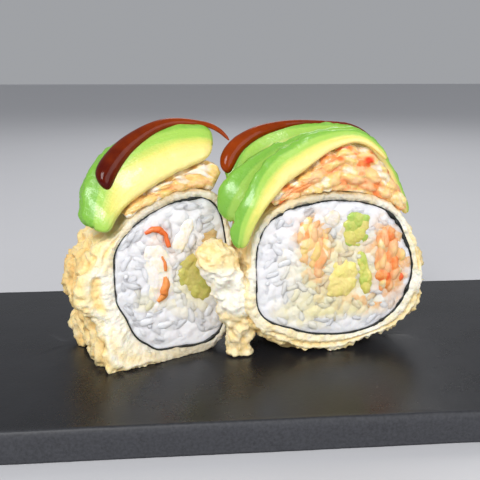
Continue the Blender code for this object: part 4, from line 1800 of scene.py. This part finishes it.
@dataclass
class Filling:
    """One filling of a roll, from cut face to cut face.

    Attributes:
        roll: the roll's sizes.
        form: the filling's own.
        dome: how far the middle of each end stands out past its rim.
        sunk: how far that rim lies inside the cut face.
        columns: points round it.
        face_rows: rings over each end.
    """

    roll: RollForm
    form: FillingForm
    dome: float = 0.5 * MM
    sunk: float = 0.15 * MM
    columns: int = 150
    face_rows: int = 34

    def shell(self) -> Shell:
        """The filling's ragged outline carried from the middle of one face out, along, and in again.

        Returns:
            The shell, marked with what its finish needs.
        """
        form, seed, middle = self.form, self.roll.seed, self.form.middle
        outline = form.outline(self.columns)
        rim = np.stack([outline[:, 0], np.full(self.columns, form.half[0]), outline[:, 1]], axis=-1)
        swell = 1 + form.ragged * fractal(rim, 3.2 * MM, seed + 20, 3)
        outline = middle + (outline - middle) * swell[:, None]
        out = np.linspace(0.04, 1, self.face_rows)
        share = np.concatenate([out, [1.02, 1.02], out[::-1]])[:, None, None]
        flat = middle + (outline - middle)[None] * share
        dome = (1 - out**4) * self.dome - self.sunk
        length = self.roll.length
        depth = np.concatenate([-dome, [0.3 * length, 0.7 * length], length + dome[::-1]])[:, None]
        depth = np.broadcast_to(depth, flat.shape[:2])
        grid = np.stack([flat[..., 0], depth, flat[..., 1]], axis=-1)
        lump = np.array([form.lump[0], 3, form.lump[1]]) * MM
        height, number = knobs(grid + 0.9 * MM * drift(grid, 3.5 * MM, seed + 1), lump, seed + 21)
        fine = fractal(grid, 1.2 * MM, seed + 22, 3)
        grid = raised(grid, form.relief * (height - 0.65) + 0.15 * MM * fine, Ends.POLES)
        values, tints = np.array(form.tints).T
        side = (grid[..., 0] - middle[0]) / form.half[0]
        tint = np.clip(np.interp(number, values, tints) + form.slope * side + 0.08 * fine, 0, 1)
        if form.kind is Kind.AVOCADO:
            marks = {"green": tint, "along": grid[..., 2], "across": grid[..., 0], "dull": form.dull}
        else:
            # deeper colour in the creases between lumps: mayonnaise and painted shade
            marks = {"tint": tint, "crease": (1 - height) * form.crease, "brown": form.dull}
        return lofted(grid, Ends.POLES, marks)

    def build(self, finishes: Finishes) -> None:
        """Makes the filling."""
        kind = self.form.kind.value
        name = f"{self.roll.name}_{self.form.name}"
        shell = self.roll.placed(self.shell())
        piece(f"{name}_filling", shell, getattr(finishes, kind), (name,))


@dataclass
class CrabSkin:
    """The red skin of the left roll's crab stick: thin curved ribbons that run through the roll.

    Attributes:
        roll: the roll's sizes.
        paths: u, v and half thickness along each ribbon, in millimetres.
        tints: each ribbon's tint.
        proud: how far the ribbons stand out of the cut faces.
        wander: how far noise moves their line.
        rows: steps along each.
    """

    roll: RollForm
    paths: tuple[tuple[tuple[float, float, float], ...], ...] = (
        ((-7.4, 11.5, 0.3), (-5.4, 12.5, 0.55), (-3.4, 12.2, 0.6), (-2.0, 10.4, 0.55), (-1.3, 7.2, 0.4)),
        ((-3.0, 5.0, 0.2), (-2.7, 3.0, 0.4), (-2.6, 1.0, 0.3)),
        ((-2.5, -0.4, 0.4), (-2.2, -2.8, 0.9), (-2.9, -5.6, 0.9), (-4.6, -7.4, 0.4)),
    )
    tints: tuple[float, ...] = (0.88, 0.8, 0.78)
    proud: float = 0.6 * MM
    wander: float = 0.3 * MM
    rows: int = 40

    def shell(self) -> Shell:
        """A ribbon for each path: its line on the face, thickened to both sides, carried through the roll.

        Returns:
            The ribbons as one shell.
        """
        front, back = -self.proud, self.roll.length + self.proud
        shells = []
        for knots, tint in zip(self.paths, self.tints):
            table = traced(np.array(knots) * MM, self.rows)
            line, half = table[:, :2], table[:, 2:]
            line += self.wander * np.stack([face_noise(line, 1.5 * MM, seed) for seed in (4, 5)], axis=-1)
            half *= 1 + 0.4 * face_noise(line, 2 * MM, 6)[:, None]
            way = np.gradient(line, axis=0)
            way /= np.linalg.norm(way, axis=1, keepdims=True)
            side = np.stack([-way[:, 1], way[:, 0]], axis=-1) * half
            sides = ((1, front), (1, back), (-1, back), (-1, front))
            edges = [np.insert(line + sign * side, 1, level, axis=1) for sign, level in sides]
            shells.append(lofted(np.stack(edges, axis=1), Ends.POLES, {"tint": tint}))
        return joined(shells)

    def build(self, finishes: Finishes) -> None:
        """Makes the ribbons."""
        shell = self.roll.placed(self.shell())
        piece(f"{self.roll.name}_crab_skin", shell, finishes.crab)


@dataclass
class CrabSalad:
    """The crab salad heaped on the batter: packed flakes, drawn out along the heap.

    Attributes:
        roll: the roll's sizes.
        flake: a flake's size along the heap, up and into it, in millimetres.
        shred: the same of the finer shreds.
        sunk: how far the heap's underside lies in the batter's own clearance.
        face_columns: points up each cut face.
        side_columns: points over the heap from front to back.
        step: from ring to ring along the heap.
    """

    roll: RollForm
    flake: tuple[float, float, float] = (4.6, 2.0, 3.0)
    shred: tuple[float, float, float] = (1.9, 0.7, 1.2)
    sunk: float = 0.6 * MM
    face_columns: int = 38
    side_columns: int = 14
    step: float = 0.3 * MM

    def shell(self) -> Shell:
        """A lens over the batter, its section a box with rounded outer corners, its flakes raised.

        Returns:
            The heap's shell.
        """
        roll = self.roll
        last, first = roll.heap_ends
        middle = float(roll.heap((first + last) / 2))
        steps = int(math.radians(first - last) * middle / self.step)
        degrees = np.linspace(first, last, steps)[:, None]
        out = np.linspace(0, 1, self.face_columns)
        side = np.linspace(0.12, 0.88, self.side_columns)
        share = np.concatenate([out, np.ones(self.side_columns), out[::-1], np.zeros(3)])
        edge = 0.01 + 0.11 * smooth((out - 0.85) / 0.15) + 0.03 * (1 - smooth(out / 0.15))
        along = np.concatenate([edge, side, 1 - edge[::-1], [0.75, 0.5, 0.25]])
        low, high = roll.cover(degrees), roll.heap(degrees)
        sunk = self.sunk * (1 - smooth(share * 4))
        grid = around(degrees, low + share * (high - low) - sunk, along * roll.length)
        arc = np.radians(degrees) * middle
        flat = np.stack(np.broadcast_arrays(arc, np.hypot(grid[..., 0], grid[..., 2]), grid[..., 1]), axis=-1)
        flat = flat + 1.1 * MM * drift(grid, 4 * MM, roll.seed + 1)
        height, number = knobs(flat, np.array(self.flake) * MM, roll.seed + 25)
        fine = crumbs(flat, np.array(self.shred) * MM, roll.seed + 28)
        shown = (share > 0.02) * smooth(np.minimum(degrees - last, first - degrees) / 3)
        grid = raised(grid, shown * (1.7 * (height - 0.6) + 0.5 * (fine - 0.6)) * MM, Ends.POLES)
        values, tints = np.array(roll.salad).T
        tint = np.interp(number, values, tints) + 0.1 * fractal(grid, 1.2 * MM, roll.seed + 26, 2)
        for spot in roll.salad_spots:
            tint = tint * (1 - spot.share(grid)) + spot.at(grid)
        # deeper colour in the creases between flakes: mayonnaise and painted shade
        return lofted(grid, Ends.POLES, {"tint": np.clip(tint, 0, 1), "crease": (1 - height) * 1.1})

    def build(self, finishes: Finishes) -> None:
        """Makes the heap."""
        name = self.roll.name
        shell = self.roll.placed(self.shell())
        piece(f"{name}_crab_salad", shell, finishes.crab, (f"{name}_crab",))


@dataclass
class AvocadoSlice:
    """A slice of avocado, a crescent bar bent over the roll and leaning on the one behind it.

    Attributes:
        roll: the roll's sizes.
        number: which slice, from the front.
        crest: about how far the slices lie from the roll's middle.
        roundness: power of the superellipse of its section.
        rows: rings along it.
        columns: points round it.
    """

    roll: RollForm
    number: int
    crest: float = 24 * MM
    roundness: float = 3.2
    rows: int = 110
    columns: int = 44

    def shell(self) -> Shell:
        """A superellipse section, as wide and thick as the slice is there, carried along to drawn-in tips.

        Returns:
            The shell, marked with its places and how green it is.
        """
        cut = self.roll.slices[self.number]
        places = eased(self.rows)
        degrees = cut.start + (cut.end - cut.start) * places
        radius, depth, width, thick = self.roll.slice_frame(self.number, degrees)
        ends = drawn_in(places, 0.02)
        out, off = rounded(circle(self.columns)[None], self.roundness)
        reach = (width - thick) / 2 + width / 2 * out * ends
        grid = self.roll.leaned(degrees, radius, depth, reach, thick / 2 * off * ends)
        across = (out * ends + 1) / 2
        rim = smooth((across - 0.8) / 0.2)
        wave = 0.35 * fractal(grid, 7 * MM, self.roll.seed + self.number, 3)
        ragged = rim * 0.5 * fractal(grid, 2.2 * MM, self.roll.seed + 33, 3)
        place = 0.42 + 0.05 * noise(grid, 9 * MM, self.roll.seed + 34)
        groove = smooth(1 - abs(across - place) / 0.07)
        grid = raised(grid, (wave + ragged - 0.4 * groove) * MM, Ends.POLES)
        length = math.radians(cut.start - cut.end) * self.crest
        widest = max(value for _, value in cut.widths) * MM
        # the groove's extra green is painted shade, darker along it
        green = 0.9 * smooth((across - 0.2) / 0.7) + 0.1 * across + 0.12 * groove
        green = green + self.roll.green_end.at(degrees)
        marks = {"green": green, "along": places * length, "across": across * widest}
        return lofted(grid, Ends.POLES, marks)

    def build(self, finishes: Finishes) -> None:
        """Makes the slice."""
        name = f"{self.roll.name}_avocado_{self.number + 1}"
        piece(f"{name}_slice", self.roll.placed(self.shell()), finishes.avocado, (name,))


@dataclass
class GlazeLine:
    """The thick line of dark glaze on the near side of one slice's crest, fat at its start.

    Attributes:
        roll: the roll's sizes.
        sunk: how deep its middle lies in the slice, in half widths.
        flatness: its half thickness in half widths.
        rows: rings along it.
        columns: points round it.
    """

    roll: RollForm
    sunk: float = 0.2
    flatness: float = 0.8
    rows: int = 120
    columns: int = 28

    def shell(self) -> Shell:
        """A flattened round section along the slice, a bead at its start and thin over the top.

        Returns:
            The shell, marked with how thin the glaze is.
        """
        line = self.roll.glaze
        share = eased(self.rows)
        degrees = line.start + (line.end - line.start) * share
        radius, depth, width, thick = self.roll.slice_frame(line.number, degrees)
        half = between(degrees, line.halves) * drawn_in(share, 0.01)
        turn = circle(self.columns)[None]
        inset = between(degrees, line.insets)
        bend = np.clip(1 - 2 * inset / thick, 0, 1)
        reach = width - thick / 2 - inset + half * np.cos(turn)
        off = thick / 2 * np.sqrt(1 - bend**2) + half * (self.flatness * np.sin(turn) - self.sunk)
        grid = self.roll.leaned(degrees, radius, depth, reach, off)
        first, last = line.amber
        thin = first + (last - first) * share + 0.25 * smooth(-np.sin(turn))
        return lofted(grid, Ends.POLES, {"thin": thin})

    def build(self, finishes: Finishes) -> None:
        """Makes the line of glaze."""
        shell = self.roll.placed(self.shell())
        piece(f"{self.roll.name}_glaze_line", shell, finishes.glaze)


@dataclass
class Roll:
    """One cut piece of the roll with all that lies in and on it."""

    form: RollForm

    def build(self, finishes: Finishes) -> None:
        """Makes the roll's pieces from the outside in.

        Args:
            finishes: every finish.
        """
        draw = np.random.default_rng(self.form.seed)
        BatterCoat(self.form).build(finishes)
        SeaweedSheet(self.form).build(finishes)
        RiceBed(self.form).build(finishes, draw)
        for form in self.form.fillings:
            Filling(self.form, form).build(finishes)
        if self.form is LEFT:
            CrabSkin(self.form).build(finishes)
        CrabSalad(self.form).build(finishes)
        for number in range(len(self.form.slices)):
            AvocadoSlice(self.form, number).build(finishes)
        GlazeLine(self.form).build(finishes)


# The stage


@dataclass(frozen=True)
class Lamp:
    """A soft white lamp: where it stands, how wide it is and its power."""

    name: str
    place: tuple[float, float, float]
    size: float
    power: float


@dataclass
class Stage:
    """The pale floor, the studio lamps, the pale surroundings and the camera at the photograph's angle.

    Attributes:
        floor_half: half the floor's width.
        floor_tones: the floor's two screen colours.
        surroundings: the colour of the light from all round.
        surrounding_light: its strength.
        aim: what the lamps point at.
        lamps: the lamps.
        camera_place: where the camera stands.
        camera_heading: which way it looks over the floor.
        camera_pitch: how far it looks down, in degrees.
        camera_lens: its lens, in millimetres on a frame of camera_frame.
        camera_frame: the frame's width, in millimetres.
        camera_near: the nearest that it sees.
    """

    floor_half: float = 4.0
    floor_tones: tuple[tuple[int, int, int], tuple[int, int, int]] = ((206, 206, 209), (198, 198, 202))
    surroundings: tuple[float, float, float, float] = (0.78, 0.8, 0.84, 1)
    surrounding_light: float = 0.45
    aim: tuple[float, float, float] = (0.0, 0.0, 0.035)
    camera_place: tuple[float, float, float] = (-0.0177, -0.161, 0.083)
    camera_heading: tuple[float, float] = (0.0785, 0.9969)
    camera_pitch: float = 15.7
    camera_lens: float = 45.0
    camera_frame: float = 36.0
    camera_near: float = 0.01
    lamps: tuple[Lamp, ...] = (
        Lamp("key", (-0.22, -0.5, 0.46), 0.3, 3.5),
        Lamp("fill", (0.5, -0.55, 0.3), 0.5, 1.8),
        Lamp("back", (0.1, 0.5, 0.6), 0.4, 1.6),
    )

    def floor(self) -> None:
        """A wide flat floor under the board."""
        half = self.floor_half
        mesh = bpy.data.meshes.new("floor")
        corner_places = [(-half, -half, 0), (half, -half, 0), (half, half, 0), (-half, half, 0)]
        mesh.from_pydata(corner_places, [], [(0, 1, 2, 3)])
        graph = Graph("floor", Roughness=0.7)
        graph.set("Base Color", graph.mix(graph.grain(60 * MM, 2) * 0.4, *self.floor_tones))
        mesh.materials.append(graph.material)
        made = bpy.data.objects.new("floor", mesh)
        bpy.context.scene.collection.objects.link(made)

    def light(self) -> None:
        """The lamps, each turned to the food, and the pale surroundings."""
        for lamp in self.lamps:
            data = bpy.data.lights.new(lamp.name, "AREA")
            data.size, data.energy = lamp.size, lamp.power
            made = bpy.data.objects.new(lamp.name, data)
            made.location = lamp.place
            aim = Vector(self.aim) - Vector(lamp.place)
            made.rotation_euler = aim.to_track_quat("-Z", "Y").to_euler()
            bpy.context.scene.collection.objects.link(made)
        world = bpy.data.worlds.new("studio")
        world.use_nodes = True
        background = world.node_tree.nodes["Background"]
        background.inputs["Color"].default_value = self.surroundings
        background.inputs["Strength"].default_value = self.surrounding_light
        bpy.context.scene.world = world
        bpy.context.scene.view_settings.view_transform = "Standard"

    def camera(self) -> None:
        """The camera, level from side to side."""
        data = bpy.data.cameras.new("camera")
        data.lens = self.camera_lens
        data.sensor_width = self.camera_frame
        data.clip_start = self.camera_near
        made = bpy.data.objects.new("camera", data)
        ahead = np.array([*self.camera_heading, 0.0])
        pitch = math.radians(self.camera_pitch)
        look = ahead / np.linalg.norm(ahead) * math.cos(pitch) - np.array([0, 0, math.sin(pitch)])
        turn = Vector(look).to_track_quat("-Z", "Y").to_matrix().to_4x4()
        made.matrix_world = Matrix.Translation(self.camera_place) @ turn
        bpy.context.scene.collection.objects.link(made)
        bpy.context.scene.camera = made

    def build(self) -> None:
        """Sets the stage."""
        self.floor()
        self.light()
        self.camera()


def main() -> None:
    """Builds the stage, the board and both rolls, and logs how many nodes the frame holds."""
    logging.basicConfig(level=logging.INFO, format="%(name)s: %(message)s")
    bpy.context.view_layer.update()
    Stage().build()
    finishes = Finishes()
    Board().build(finishes)
    for form in (LEFT, RIGHT):
        Roll(form).build(finishes)
    log.info("%d nodes in the frame", len(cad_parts))


if __name__ == "__main__":
    main()
